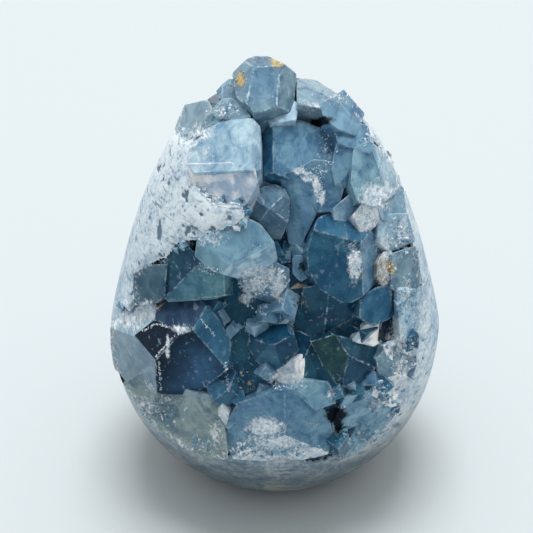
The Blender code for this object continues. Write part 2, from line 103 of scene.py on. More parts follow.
camera_data = bpy.data.cameras.new("camera")
camera = bpy.data.objects.new("camera", camera_data)
bpy.context.scene.collection.objects.link(camera)
camera_data.sensor_width = SENSOR
camera_data.lens = FOCAL_PIXELS / IMAGE_SIZE * SENSOR
camera_data.clip_start = NEAREST_SEEN
camera_data.shift_x = -(EGG_CENTRE_PIXEL[0] / IMAGE_SIZE - 0.5)
camera_data.shift_y = EGG_CENTRE_PIXEL[1] / IMAGE_SIZE - 0.5
camera.location = FACE_CENTRE + OUT * CAMERA_DISTANCE
camera.rotation_euler = OUT.to_track_quat("Z", "Y").to_euler()
bpy.context.scene.camera = camera
print("camera lens", round(camera_data.lens, 1), "mm")

# %% [markdown]
# Small helpers. An operator acts on whatever is selected, so each step starts by selecting
# exactly one object. `edit` opens that object in edit mode with all of it selected, and
# `add_shape` runs one of Blender's adding operators and hands back what it made.

# %% Helpers for the operators
def only(item):
    bpy.ops.object.select_all(action="DESELECT")
    item.select_set(True)
    bpy.context.view_layer.objects.active = item


def edit(item):
    only(item)
    bpy.ops.object.mode_set(mode="EDIT")
    bpy.ops.mesh.select_all(action="SELECT")


def leave():
    bpy.ops.object.mode_set(mode="OBJECT")


def add_shape(adder, **settings):
    bpy.ops.object.select_all(action="DESELECT")
    adder(**settings)
    return bpy.context.object


def apply_boolean(item, other, operation, overlapping=False):
    only(item)
    cut = item.modifiers.new(operation.title(), "BOOLEAN")
    cut.operation = operation
    cut.solver = "EXACT"
    cut.use_self = overlapping
    cut.object = other
    bpy.ops.object.modifier_apply(modifier=cut.name)
    bpy.data.objects.remove(other, do_unlink=True)


def join(items, name):
    bpy.ops.object.select_all(action="DESELECT")
    for item in items:
        item.select_set(True)
    bpy.context.view_layer.objects.active = items[0]
    bpy.ops.object.join()
    items[0].name = name
    return items[0]


# %% [markdown]
# Relief and colour are worked out for all points of a mesh at once, so these helpers read and
# write whole arrays. `on_face` lays points of the standing egg down on the face, and
# `to_outline` says how far each one is from an outline drawn there.

# %% Helpers for points
def read_points(mesh):
    values = np.empty(len(mesh.vertices) * 3, np.float32)
    mesh.vertices.foreach_get("co", values)
    return values.reshape(-1, 3)


def read_normals(mesh):
    values = np.empty(len(mesh.vertices) * 3, np.float32)
    mesh.vertices.foreach_get("normal", values)
    return values.reshape(-1, 3)


def on_face(points):
    """Points of the standing egg in face coordinates, in millimetres."""
    turned = np.array(FACE.inverted())
    return (points @ turned[:3, :3].T + turned[:3, 3]) / MM


def to_outline(points, outline):
    """How far each point on the face is from an outline."""
    nearest = np.full(len(points), np.inf)
    for start, end in zip(outline, outline[1:] + outline[:1]):
        start, end = np.array(start), np.array(end)
        side = end - start
        share = np.clip(((points[:, :2] - start) @ side) / (side @ side), 0, 1)
        gap = points[:, :2] - start - share[:, None] * side
        nearest = np.minimum(nearest, np.hypot(gap[:, 0], gap[:, 1]))
    return nearest


def float_attribute(mesh, name, values, domain="POINT"):
    kind = "FLOAT" if np.ndim(values) == 1 else "FLOAT_COLOR"
    attribute = mesh.attributes.new(name, kind, domain)
    field = "value" if kind == "FLOAT" else "color"
    attribute.data.foreach_set(field, np.asarray(values, np.float32).ravel())


# %% [markdown]
# ## The ground stone
# The egg's outline is a blunt lower half and a tapering upper half, the same curves that the
# solid was turned from. A sphere is added and each of its points is moved to the outline, so the
# rings stay evenly spaced. Its bottom stops at the flat spot.

# %% Egg profile
HALF_WIDTH = (high.x - low.x) / 2
DEPTH_RATIO = high.y / high.x
EGG_HEIGHT = 95.5 * MM
WIDEST_AT = 37.5 * MM
LOWER_REACH = 42.5 * MM
LOWER_POWER = 2.23
UPPER_POWER = 1.05
UPPER_ROUND = 0.357
EGG_SEGMENTS = 360
EGG_RINGS = 240
TINY = 1e-6


def egg_radius(height):
    if height < WIDEST_AT:
        return HALF_WIDTH * math.sqrt(1 - ((WIDEST_AT - height) / LOWER_REACH) ** LOWER_POWER)
    rise = min(1, (height - WIDEST_AT) / (EGG_HEIGHT - WIDEST_AT))
    return HALF_WIDTH * (1 - rise ** UPPER_POWER) ** UPPER_ROUND


egg = add_shape(bpy.ops.mesh.primitive_uv_sphere_add, segments=EGG_SEGMENTS, ring_count=EGG_RINGS, radius=1)
egg.name = "ground_egg"
ball = read_points(egg.data)
height = WIDEST_AT + ball[:, 2] * np.where(ball[:, 2] > 0, EGG_HEIGHT - WIDEST_AT, WIDEST_AT)
around = np.maximum(np.hypot(ball[:, 0], ball[:, 1]), TINY)
reach = np.array([egg_radius(z) for z in height]) / around
shaped = np.column_stack((ball[:, 0] * reach, ball[:, 1] * reach * DEPTH_RATIO, height))
egg.data.vertices.foreach_set("co", shaped.astype(np.float32).ravel())
egg.data.update()
print("egg", len(egg.data.polygons), "faces")

# %% [markdown]
# The hollow is a prism of the mouth's outline, carried straight back from the front, less a core
# of stone that it bends around. The outline is an added circle whose points are moved to the
# places where the mouth turns.

# %% Hollow
MOUTH = [
    (-21.5, 34), (-20, 39.5), (-15.5, 47), (-11, 50.5), (-6.5, 54.5), (0, 55), (5.5, 52.5),
    (9.5, 49), (14.5, 42.5), (18, 37.5), (20, 32), (24.5, 28), (27, 22.5), (27.5, 16.5),
    (29.5, 10), (30.5, 5), (31.5, 0), (30.5, -5), (30.5, -12), (30, -18), (28.5, -24),
    (24, -30), (17.5, -36), (9, -37.5), (-2, -37), (-10.5, -36.5), (-18.5, -35.5), (-26, -30.5),
    (-31, -24), (-35, -20.5), (-36.5, -14.5), (-36, -9), (-33, -4.5), (-29.5, -2.5),
    (-30.5, 2.5), (-27, 5), (-23, 6), (-20.5, 9), (-17, 9.5), (-14, 10.5), (-9, 12.5),
    (-6, 14), (-6.5, 17), (-12.5, 17.5), (-16, 20.5), (-17.5, 25), (-17, 29), (-14, 32),
    (-18.5, 31),
]
BACK_OUT = 2
BACK_RISE = 0.28
FRONT_OUT = 60
CORE_RADII = (24, 33, 20)
CORE_SEGMENTS = 28
CORE_RINGS = 14
SHARPEST_CORNER = 0.5
CRUMBLE = 0.35
CRUMBLE_LENGTH = 1.1
CRUMBLE_SEED = 4


def flat_outline(outline, out):
    """A filled polygon on the face, in metres."""
    item = add_shape(bpy.ops.mesh.primitive_circle_add, vertices=len(outline), radius=1, fill_type="NGON")
    for vertex, (across, up) in zip(item.data.vertices, outline):
        vertex.co = Vector((across, up, out)) * MM
    return item


def grown(outline, margin):
    """The same outline with every side moved outward by the margin."""
    turn = sum(a[0] * b[1] - b[0] * a[1] for a, b in zip(outline, outline[1:] + outline[:1]))
    outward = -1 if turn > 0 else 1
    moved = []
    for i, point in enumerate(outline):
        here = Vector(point)
        before = (here - Vector(outline[i - 1])).normalized()
        after = (Vector(outline[(i + 1) % len(outline)]) - here).normalized()
        normal = Vector((-before.y - after.y, before.x + after.x)).normalized() * outward
        slant = normal.dot(Vector((-before.y, before.x)) * outward)
        moved.append(tuple(here + normal * margin / max(slant, SHARPEST_CORNER)))
    return moved


def ragged(outline):
    """The same outline as a line of short broken pieces."""
    crumbling = random.Random(CRUMBLE_SEED)
    broken = []
    for start, end in zip(outline, outline[1:] + outline[:1]):
        pieces = max(1, round(math.dist(start, end) / CRUMBLE_LENGTH))
        for i in range(pieces):
            point = Vector(start).lerp(Vector(end), i / pieces)
            broken.append(tuple(c + crumbling.uniform(-CRUMBLE, CRUMBLE) for c in point))
    return broken


def hollow(outline, margin):
    """The hollow's space behind an outline, larger all round by the margin."""
    space = flat_outline(grown(outline, margin), FRONT_OUT)
    edit(space)
    bpy.ops.mesh.extrude_region_move(TRANSFORM_OT_translate={"value": (0, 0, -FRONT_OUT * MM)})
    leave()
    for vertex in space.data.vertices:
        if vertex.co.z < FRONT_OUT * MM / 2:
            vertex.co.z = (BACK_OUT - margin) * MM + BACK_RISE * vertex.co.y
    edit(space)
    bpy.ops.mesh.normals_make_consistent(inside=False)
    leave()
    core = add_shape(bpy.ops.mesh.primitive_uv_sphere_add, segments=CORE_SEGMENTS, ring_count=CORE_RINGS,
                     radius=1)
    for vertex in core.data.vertices:
        vertex.co = Vector([c * (r - margin) * MM for c, r in zip(vertex.co, CORE_RADII)])
    apply_boolean(space, core, "DIFFERENCE")
    return space


space = hollow(ragged(MOUTH), 0)
space.data.transform(FACE)
apply_boolean(egg, space, "DIFFERENCE")
print("hollow egg", len(egg.data.polygons), "faces")

# %% [markdown]
# Grinding stops at the hollow's lip, where the brittle stone crumbles away a little, and it opens
# pores all over the egg. Each point of the surface is pushed in by how near it is to the lip and
# to a pore. Eight larger pores sit where they can be seen, the others are scattered by chance. The
# flat spot that the egg stands on stays flat.

# %% Lip and pores
LIP_WIDTH = 1.2
LIP_DROP = 0.45
LIP_ABOVE = 2
PORE_COUNT = 260
PORE_HEIGHTS = (4, 84)
PORE_RADIUS = (0.25, 0.8)
PORE_DEPTH = 0.35
PORE_SEED = 12
SEEN_PORES = [
    (-24.5, 12, 0.7, 2.2), (-25, 25.5, 0.6, 1.2), (-18, 12, 1.6, 0.9), (-13, 12, 1.2, 0.6),
    (-16, 27, 1.6, 0.6), (-18.5, 19, 0.9, 1.4), (-24, 7, 1.4, 0.6), (27, -31, 1.2, 0.7),
]
UNEVEN = 0.12
UNEVEN_SIZE = 2.2
WITHIN = (0.8, 2.5)
RAGGED = 1.2
RAGGED_SIZE = 0.9
FLAT_SPOT = 0.5

points = read_points(egg.data)
flat = on_face(points)
rough = RAGGED * np.array([noise.noise(Vector(p) / (RAGGED_SIZE * MM)) for p in points])
pitting = random.Random(PORE_SEED)
pores = np.zeros(len(points))
for _ in range(PORE_COUNT):
    heading = pitting.uniform(-math.pi, math.pi)
    height = pitting.uniform(*PORE_HEIGHTS) * MM
    wide, tall = [pitting.uniform(*PORE_RADIUS) * MM for _ in range(2)]
    reach = egg_radius(height)
    middle = np.array((math.sin(heading) * reach, -math.cos(heading) * reach * DEPTH_RATIO, height))
    gone = np.hypot(np.hypot(*(points - middle)[:, :2].T) / wide, (points - middle)[:, 2] / tall)
    pores = np.maximum(pores, np.exp(-gone ** 2))
for across, up, wide, tall in SEEN_PORES:
    gone = np.hypot((flat[:, 0] - across) / wide, (flat[:, 1] - up) / tall) + rough
    pores = np.maximum(pores, np.exp(-np.maximum(gone, 0) ** 2) * (flat[:, 2] > 0))
drop = LIP_DROP * np.exp(-(to_outline(flat, MOUTH) / LIP_WIDTH) ** 2) * (flat[:, 2] > LIP_ABOVE)
uneven = np.array([noise.noise(Vector(p) / (UNEVEN_SIZE * MM)) for p in points])
push = (drop + PORE_DEPTH * pores + UNEVEN * (0.5 - uneven * 0.5)) * (points[:, 2] > FLAT_SPOT * MM)
moved = points - read_normals(egg.data) * (push * MM)[:, None]
egg.data.vertices.foreach_set("co", moved.astype(np.float32).ravel())
egg.data.update()
float_attribute(egg.data, "pit", pores)
reach = np.array([egg_radius(z) for z in points[:, 2]])
sunk = (reach - np.hypot(points[:, 0], points[:, 1] / DEPTH_RATIO)) / MM
float_attribute(egg.data, "within", np.clip((sunk - WITHIN[0]) / (WITHIN[1] - WITHIN[0]), 0, 1))
print("egg lip and", PORE_COUNT + len(SEEN_PORES), "pores")

# %% [markdown]
# ## The crystals
# Celestite grows as chisel-headed blocks. Each large one is drawn as an outline on the face and
# a few flat facets that cut its head, each a place (across, up, out) and its lean to the side
# and upward in degrees. The words after its name are the finishes of those facets, tones that
# are partly painted light, and the last word counts for all that follow.

# %% Large crystals
Crystal = namedtuple("Crystal", "name finishes root outline facets")
CRYSTALS = [
    Crystal("crown", "dusk", 16,
            [(-9, 45), (-7, 46.5), (-6, 48), (-4.5, 49), (-1.5, 49), (1.5, 47), (4.5, 45), (4, 40.5),
             (1, 39.5), (-1.5, 38.5), (-3, 36.5), (-4.5, 36.5), (-7, 40), (-8.5, 43)],
            [(-3, 42, 32, 5, 25), (2, 43, 29.5, 55, 20), (-3, 48, 25.5, 0, 65), (-7, 44, 28.5, -50, 35)]),
    Crystal("crown_chip", "dusk", 10,
            [(-12.5, 42), (-11.5, 43.5), (-10, 45), (-8, 45), (-6, 44), (-6, 40), (-9.5, 39.5)],
            [(-9, 42, 22.5, -30, 45), (-10, 43, 20.5, -20, 60)]),
    Crystal("left_block", "pearl", 8,
            [(-21.5, 34), (-20.5, 37), (-19.5, 39.5), (-14, 39.5), (-12.5, 36), (-13.5, 33), (-19.5, 31)],
            [(-16, 36, 26.5, -60, 45)]),
    Crystal("left_peak", "pearl", 8,
            [(-15.5, 34.5), (-12.5, 38), (-11, 39.5), (-9, 39.5), (-7.5, 38.5), (-5, 35.5), (-8, 33.5),
             (-15.5, 32)],
            [(-10, 37, 30, -25, 35), (-10, 34, 32, -15, -15)]),
    Crystal("pale_block", "milk milk frost", 12,
            [(-18, 29.5), (-15, 32.5), (-11.5, 34), (-8, 34.5), (-4.5, 34.5), (-3, 33), (-3, 25.5),
             (-4.5, 24), (-9, 24.5), (-18, 25.5)],
            [(-9, 29, 35.5, -20, 15), (-3.5, 29, 35.5, 50, 15), (-12, 31, 34, -30, 35)]),
    # This face's near-white tone, and that of the others that share it, is a pale crystal partly painted with
    # the glow of light shining through it.
    Crystal("violet_face", "violet", 10,
            [(-18, 25.5), (-9, 25.5), (-4, 24), (-3.5, 22), (-5, 19.5), (-7, 17), (-13.5, 16.5),
             (-17.5, 20)],
            [(-11, 22, 35, -20, -15)]),
    Crystal("smoky_bud", "dusk", 8,
            [(-6.5, 18), (-4, 20.5), (0, 21.5), (2, 20.5), (3, 18.5), (3, 15), (1.5, 12), (-2, 11.5),
             (-5.5, 14.5)],
            [(-2, 20, 31, -10, 30), (-5, 16, 30, -40, -20), (2, 16, 31.5, 30, -10), (-1, 13, 30, 0, -45)]),
    Crystal("tall_block", "steel deep steel", 12,
            [(-2.5, 35), (0, 36), (4, 35.5), (9, 33.5), (12.5, 30.5), (12, 25), (8.5, 23), (3.5, 23),
             (-2.5, 25)],
            [(5, 30, 30.5, 15, 10), (-2, 30, 30, -50, 10), (3, 34.5, 29.5, 10, 55)]),
    Crystal("pale_cap", "milk", 9,
            [(-2.5, 37.5), (-0.5, 39.5), (3.5, 39.5), (5, 38), (4.5, 35.5), (-1, 34.5)],
            [(1, 37, 29.5, -5, 40)]),
    Crystal("inner_slab", "steel", 8,
            [(-3.5, 25.5), (3, 26), (2.5, 18.5), (-2.5, 18.5), (-4.5, 22.5)],
            [(-1, 23, 29, -5, -10)]),
    Crystal("long_wedge", "steel", 12,
            [(1.5, 23.5), (4, 24), (9.5, 20), (9.5, 17), (6, 10), (3.5, 12), (2, 18)],
            [(4, 17, 30.5, -30, -25), (7, 17, 30.5, 15, -15)]),
    Crystal("oval_bead", "steel", 8,
            [(13, 30.5), (16, 29.5), (17.5, 27), (17.5, 24.5), (16, 22.5), (13, 22), (12, 25.5)],
            [(15, 27, 30.5, 25, 0), (16, 24, 29.5, 45, -20)]),
    Crystal("white_vein", "steel", 8,
            [(4.5, 24.5), (8, 26.5), (12.5, 26), (14.5, 21.5), (13.5, 17.5), (9.5, 17)],
            [(10, 22, 31, 10, -10)]),
    Crystal("tip_left", "pearl", 10,
            [(4.5, 44), (6.5, 45), (9, 45), (12, 42.5), (14, 41), (10.5, 37), (7.5, 37.5), (4.5, 37.5)],
            [(8, 40, 28, 25, 55), (8, 44, 21, 30, 70), (12, 41, 22.5, 50, 70)]),
    Crystal("tip_right", "steel", 8,
            [(9.5, 38), (14.5, 42), (19, 37), (17.5, 33), (13, 33), (10, 34.5)],
            [(13, 36, 29.5, 45, 40)]),
    Crystal("side_blue", "steel", 8,
            [(12.5, 33.5), (15.5, 35.5), (19.5, 34), (21, 29.5), (13, 30)],
            [(15, 33, 29, 35, 30)]),
    Crystal("side_pale", "haze frost", 9,
            [(16.5, 29), (20, 31), (24.5, 28), (27, 22.5), (25.5, 20), (21.5, 17.5), (17, 18), (15.5, 21.5)],
            [(19, 25, 29, 45, 10), (23, 24, 24.5, 60, 25)]),
    Crystal("side_notch", "milk", 8,
            [(12.5, 17), (15.5, 19.5), (17.5, 19.5), (18, 17.5), (16, 15), (13, 15)],
            [(15, 18, 29.5, 30, -15)]),
    Crystal("rim_slate", "slate", 8,
            [(21, 17.5), (26, 23), (29, 20), (28.5, 14.5), (22.5, 14.5)],
            [(24, 18, 24, 55, 15)]),
    Crystal("white_tooth", "violet", 8,
            [(16.5, 15.5), (18.5, 18), (22, 17.5), (22, 14), (19.5, 11.5)],
            [(19, 15, 29, 35, -15)]),
    Crystal("shield", "blue deep steel", 12,
            [(8, 12), (9.5, 15), (13, 16), (17.5, 14), (20.5, 12), (22, 8.5), (21.5, 1), (18, -2),
             (16, -3), (10.5, 0), (7.5, 4), (7, 8)],
            [(13, 5, 30.5, 10, -15), (13, 13, 30, 25, 40), (21, 5, 24.5, 60, -10)]),
    Crystal("clear_slab", "haze milk haze", 10,
            [(-10.5, 12), (-6, 14.5), (-3, 13), (0, 9), (0.5, 7), (-1, 5.5), (-9, 2.5), (-13, 3.5),
             (-16.5, 6.5), (-16, 10)],
            [(-8, 9, 36, -15, 5), (-5, 4, 33.5, 25, -55), (-14, 6, 33.5, -35, -25)]),
    Crystal("frost_clump", "steel", 8,
            [(-8.5, 2.5), (-5, 4), (0, 5.5), (3, 4), (3, 0), (0, -4.5), (-3.5, -4.5), (-5.5, -1.5)],
            [(-4, 2, 28, -20, -40), (1, 2, 28.5, 35, -30)]),
    Crystal("teal_block", "dark teal", 10,
            [(-23.5, 5), (-21, 8.5), (-19, 9), (-16, 6), (-13, 4.5), (-10.5, 3), (-11, -1.5),
             (-14.5, -2.5), (-22.5, -3), (-24.5, -1)],
            [(-20, 6, 28, -40, -10), (-16, 1, 29, -25, -30)]),
    Crystal("smoky_chip", "smoke", 8,
            [(-30.5, 3), (-27, 5), (-22.5, 5), (-24, -2), (-27, -3.5), (-30.5, -3.5)],
            [(-26, 1, 22.5, -45, -10)]),
    Crystal("big_block", "navy navy pearl blue deep grey pearl frost", 14,
            [(-37, -9.5), (-34, -4.5), (-28.5, -3), (-24, -2.5), (-18.5, -2.5), (-15, -4.5),
             (-13, -7.5), (-11, -13), (-12, -19), (-15, -21.5), (-20, -23), (-25.5, -23), (-31.5, -22.5),
             (-36.5, -18)],
            [(-24, -11, 22.5, -45, 0), (-23, -15, 22, -15, -35), (-27, -16, 18, -60, -35),
             (-15, -17, 24, 0, -30), (-13, -10, 26, 25, -5), (-22, -5, 22.5, -35, 30),
             (-34, -14, 9.5, -65, -30), (-28, -8.5, 18.5, -55, 30)]),
    Crystal("dome", "ink ink ink blue", 10,
            [(-6, -12), (-5, -10), (-2.5, -8.5), (1.5, -8), (4, -9.5), (5, -13), (2.5, -16), (0, -17.5),
             (-4, -15.5)],
            [(-1, -10, 26.5, -20, 45), (-4, -13, 25, -40, -30), (3, -13, 26, 30, -35),
             (-1, -15, 25, -20, -45)]),
    Crystal("dome_crest", "milk", 8,
            [(-3, -8.5), (-2, -6.5), (0, -5.5), (3, -5.5), (3, -7), (1, -9)],
            [(0, -7, 24.5, -15, 5)]),
    Crystal("dome_side", "ink", 8,
            [(2.5, -13), (5, -9.5), (8, -11), (6.5, -14.5), (2, -17.5)],
            [(4, -13, 23.5, -10, -10)]),
    Crystal("mid_stalk", "steel", 8,
            [(3, -3), (5.5, -1.5), (8.5, -10.5), (5, -10.5), (2.5, -7)],
            [(5, -5, 22.5, -5, -10)]),
    Crystal("under_slab", "dark ink", 10,
            [(6.5, 0), (10.5, 1), (16, -2.5), (19, -2), (18.5, -5), (13, -8.5), (9, -10.5), (6.5, -6.5)],
            [(9, -5, 26, -25, -25), (14, -5, 25, 30, -30)]),
    Crystal("cube_right", "deep dark", 10,
            [(18.5, -2.5), (20.5, -1), (24, 0.5), (27.5, -1.5), (27, -4), (24.5, -6.5), (21, -8),
             (18.5, -6.5)],
            [(22, -3, 24, 30, -10), (26, -3, 20.5, 55, -10)]),
    # This crystal's near-white tone is a painted reflection of something bright beside the stone.
    Crystal("mirror", "mirror", 8,
            [(17, -11.5), (19.5, -8.5), (23, -7), (23, -11.5), (21, -12.5)],
            [(21, -10, 21.5, 30, -15)]),
    Crystal("mirror_side", "navy", 8,
            [(23, -7), (25.5, -5.5), (28, -6.5), (28, -11.5), (23, -12)],
            [(25, -9, 19, 45, -15)]),
    Crystal("cone", "olive dark ink", 10,
            [(8, -12), (12.5, -10), (17, -11.5), (22, -13.5), (22, -16.5), (20, -19.5), (14, -21.5),
             (12, -19.5)],
            [(12, -15, 24, -10, -30), (18, -14, 22.5, 45, 10), (17, -18, 21.5, 30, -35)]),
    Crystal("cone_foot", "dark", 8,
            [(6, -15.5), (8.5, -12.5), (13.5, -21), (13, -23), (6.5, -21)],
            [(9, -17, 22.5, 0, -15)]),
    # Its second facet's near-white tone is a painted reflection.
    Crystal("clear_step", "violet mirror", 8,
            [(-4, -20.5), (-2, -18), (3.5, -16.5), (5.5, -15), (6.5, -15), (6.5, -21.5), (-2, -22)],
            [(2, -19, 22.5, -5, -15), (6, -18, 22.5, 35, -15)]),
    Crystal("small_pale", "haze milk", 8,
            [(4, -22), (6.5, -21), (12.5, -22), (13, -24.5), (8.5, -26)],
            [(8, -23, 22.5, 15, -5)]),
    Crystal("roof", "steel steel frost", 12,
            [(-11, -32), (-8.5, -27), (-4.5, -24.5), (0.5, -21.5), (4, -21.5), (8.5, -26), (12.5, -31),
             (11.5, -36), (3, -38), (-9, -37)],
            [(-3, -28, 21.5, -15, -20), (6, -28, 21, 25, -20), (2, -34, 18.5, 5, -50)]),
    Crystal("spear", "white", 8,
            [(-11.5, -25), (-10, -27.5), (-11, -31.5), (-13.5, -36), (-15, -32.5), (-13.5, -28)],
            [(-13, -30, 18.5, -55, -10), (-12, -30, 18.5, -35, -30)]),
    Crystal("left_base", "ash", 9,
            [(-33.5, -21), (-11.5, -23), (-10.5, -32.5), (-10.5, -37), (-18.5, -37), (-28, -31)],
            [(-19, -27, 16, -35, -25)]),
    Crystal("right_base", "slate", 9,
            [(15, -23.5), (22.5, -22.5), (25.5, -25), (27, -28.5), (20.5, -36), (14, -38), (13, -30.5)],
            [(17, -27, 17, 25, -35), (22, -28, 14.5, 40, -40)]),
    Crystal("side_a", "dusk", 8,
            [(22, -15.5), (25, -13), (31, -15.5), (30, -20), (23.5, -20)],
            [(25, -17, 18, 35, -15)]),
    Crystal("side_b", "violet", 8,
            [(22, -20.5), (30, -20), (29, -25.5), (24.5, -26), (21.5, -24)],
            [(24, -22, 17, 35, -30)]),
    Crystal("side_c", "violet", 8,
            [(23.5, -12.5), (31, -11), (31, -15.5), (25.5, -16)],
            [(26, -14, 18, 40, -15)]),
    Crystal("ochre_bead", "stain", 8,
            [(22, 5.5), (24, 8), (26, 7), (27, 3.5), (24, 0.5), (22, 2.5)],
            [(24, 4, 23.5, 45, -5)]),
    Crystal("rim_stone", "dusk", 8,
            [(25, 7.5), (31.5, 9.5), (32, 1.5), (29, -2), (25, 0)],
            [(27, 2, 21.5, 50, -5)]),
    Crystal("rim_upper", "milk", 9,
            [(22, 15.5), (29, 16), (30, 10), (25.5, 8), (21.5, 10)],
            [(25, 12, 23.5, 45, -5), (28, 12, 21.5, 55, -5)]),
    Crystal("rim_lower", "milk", 9,
            [(26, 0), (33, 0.5), (32, -12.5), (28.5, -12), (26.5, -4)],
            [(28, -4, 20, 55, -10)]),
    Crystal("low_gap", "ash", 7,
            [(-11, -11.5), (-5.5, -11), (-3, -16.5), (-3, -21.5), (-8, -23), (-11, -19)],
            [(-7, -17, 21, -10, -10)]),
    Crystal("teal_slope", "ink", 8,
            [(-11.5, 2), (-7.5, 3), (-3.5, 0.5), (-2.5, -6.5), (-5.5, -10), (-10, -6.5)],
            [(-7, -2, 24, 0, -20)]),
    Crystal("brown_plug", "stain", 7,
            [(3, -0.5), (5, 1), (7.5, 0.5), (8, -2), (6, -5), (4, -4.5)],
            [(5, -2, 24, 5, -20)]),
    Crystal("dark_plug", "steel", 7,
            [(4, 7), (7.5, 6.5), (8, 3), (6, 1.5), (4, 3.5)],
            [(6, 5, 27.5, -10, -15)]),
]
print(len(CRYSTALS), "large crystals")

# %% [markdown]
# A crystal starts as its outline, a filled circle of points. It is extruded down to a neck and
# again to a narrower root, pulled tight by a convex hull, and its facets are cut with bisect. A
# real crystal's corners are knocked, so a few of them are cut off by chance planes.

# %% One crystal
HEAD_ROOM = 4
NECK_DROP = 1
ROOT_SCALE = 0.75
CHIPS = 4
CHIP_DEPTH = (0.1, 0.5)
CHIP_MIX = (0.4, 1.6)
SAME_PLANE = math.radians(1)
SLANT = Vector((0.74, 0.52, 0.31))
CHANCE_STEP = 0.1 * MM
NORMAL_STEP = 0.1
CUT_SNAP = 1e-6
MERGED = 0.02


def facet_normal(lean_side, lean_up):
    return Vector((math.tan(math.radians(lean_side)), math.tan(math.radians(lean_up)), 1)).normalized()


def facet_out(facet, across, up):
    at_across, at_up, out, lean_side, lean_up = facet
    fall = math.tan(math.radians(lean_side)) * (across - at_across)
    return out - fall - math.tan(math.radians(lean_up)) * (up - at_up)


def cut_off(place, normal):
    """Cuts away all that stands in front of a plane, in edit mode, and closes the cut."""
    bpy.ops.mesh.select_all(action="SELECT")
    bpy.ops.mesh.bisect(plane_co=place, plane_no=normal, use_fill=True, clear_outer=True,
                        threshold=CUT_SNAP)


def tight_hull(item):
    """A convex hull with its flat faces whole. A hull leaves points and faces in an order that
    differs from run to run, so both are put in order along one slanting direction."""
    bpy.ops.mesh.convex_hull()
    for flatten in (True, False):
        leave()
        bm = bmesh.new()
        bm.from_mesh(item.data)
        bm.verts.sort(key=lambda v: v.co.dot(SLANT))
        bm.edges.sort(key=lambda e: (e.verts[0].co + e.verts[1].co).dot(SLANT))
        bm.faces.sort(key=lambda f: f.calc_center_median().dot(SLANT))
        bm.to_mesh(item.data)
        bm.free()
        edit(item)
        if flatten:
            bpy.ops.mesh.dissolve_limited(angle_limit=SAME_PLANE)


def own_chance(vector, step):
    """Chance numbers that belong to a place or a direction, whatever order the mesh is in."""
    return random.Random(repr([round(value / step) for value in vector]))


def knock_corners(item, count, depth):
    """Cuts small facets off some corners of the head. Each cut looks a chance mix of the ways that
    the corner's own faces look, so it takes nothing else away."""
    leave()
    heights = [v.co.z for v in item.data.vertices]
    middle = (min(heights) + max(heights)) / 2
    corners = [v for v in item.data.vertices if v.co.z > middle]
    corners.sort(key=lambda v: own_chance(v.co, CHANCE_STEP).random())
    cuts = []
    for corner in corners[:count]:
        away = Vector()
        for face in item.data.polygons:
            if corner.index in face.vertices[:]:
                away += face.normal * own_chance(face.normal, NORMAL_STEP).uniform(*CHIP_MIX)
        in_depth = own_chance(corner.co, CHANCE_STEP).uniform(*depth) * MM
        cuts.append((corner.co - away.normalized() * in_depth, away.normalized()))
    edit(item)
    for place, away in cuts:
        cut_off(place, away)


def make_crystal(crystal):
    outline = crystal.outline
    heads = [min(facet_out(facet, a, u) for facet in crystal.facets) for a, u in outline]
    middle = Vector([sum(values) / len(outline) for values in zip(*outline)])
    head = max(facet[2] for facet in crystal.facets) + HEAD_ROOM
    neck = min(heads) - NECK_DROP
    centre = Vector((middle.x, middle.y, neck)) * MM
    item = flat_outline(outline, head)
    edit(item)
    for move in ((0, 0, (neck - head) * MM), -centre.normalized() * crystal.root * MM):
        bpy.ops.mesh.extrude_region_move(TRANSFORM_OT_translate={"value": move})
    leave()
    deep = [v for v in item.data.vertices if v.select]
    foot = sum((v.co for v in deep), Vector()) / len(deep)
    for vertex in deep:
        vertex.co = foot + (vertex.co - foot) * ROOT_SCALE
    edit(item)
    tight_hull(item)
    for across, up, out, lean_side, lean_up in crystal.facets:
        cut_off(Vector((across, up, out)) * MM, facet_normal(lean_side, lean_up))
    knock_corners(item, CHIPS, CHIP_DEPTH)
    bpy.ops.mesh.select_all(action="SELECT")
    bpy.ops.mesh.delete(type="EDGE_FACE")
    bpy.ops.mesh.select_all(action="SELECT")
    bpy.ops.mesh.remove_doubles(threshold=MERGED * MM)
    tight_hull(item)
    leave()
    return item


# %% [markdown]
# Each face remembers its finish as a number, so that the paint can follow the facets after the
# crystals have been joined. A knocked corner takes the finish of the facet it leans towards. A
# finish is a colour, how clear it is and how cloudy. The colours are partly painted light: facets
# of one crystal get lighter or darker copies of its blue for how they are lit, shaded or
# reflecting, beside real frost, stains and smoky or pale crystals.

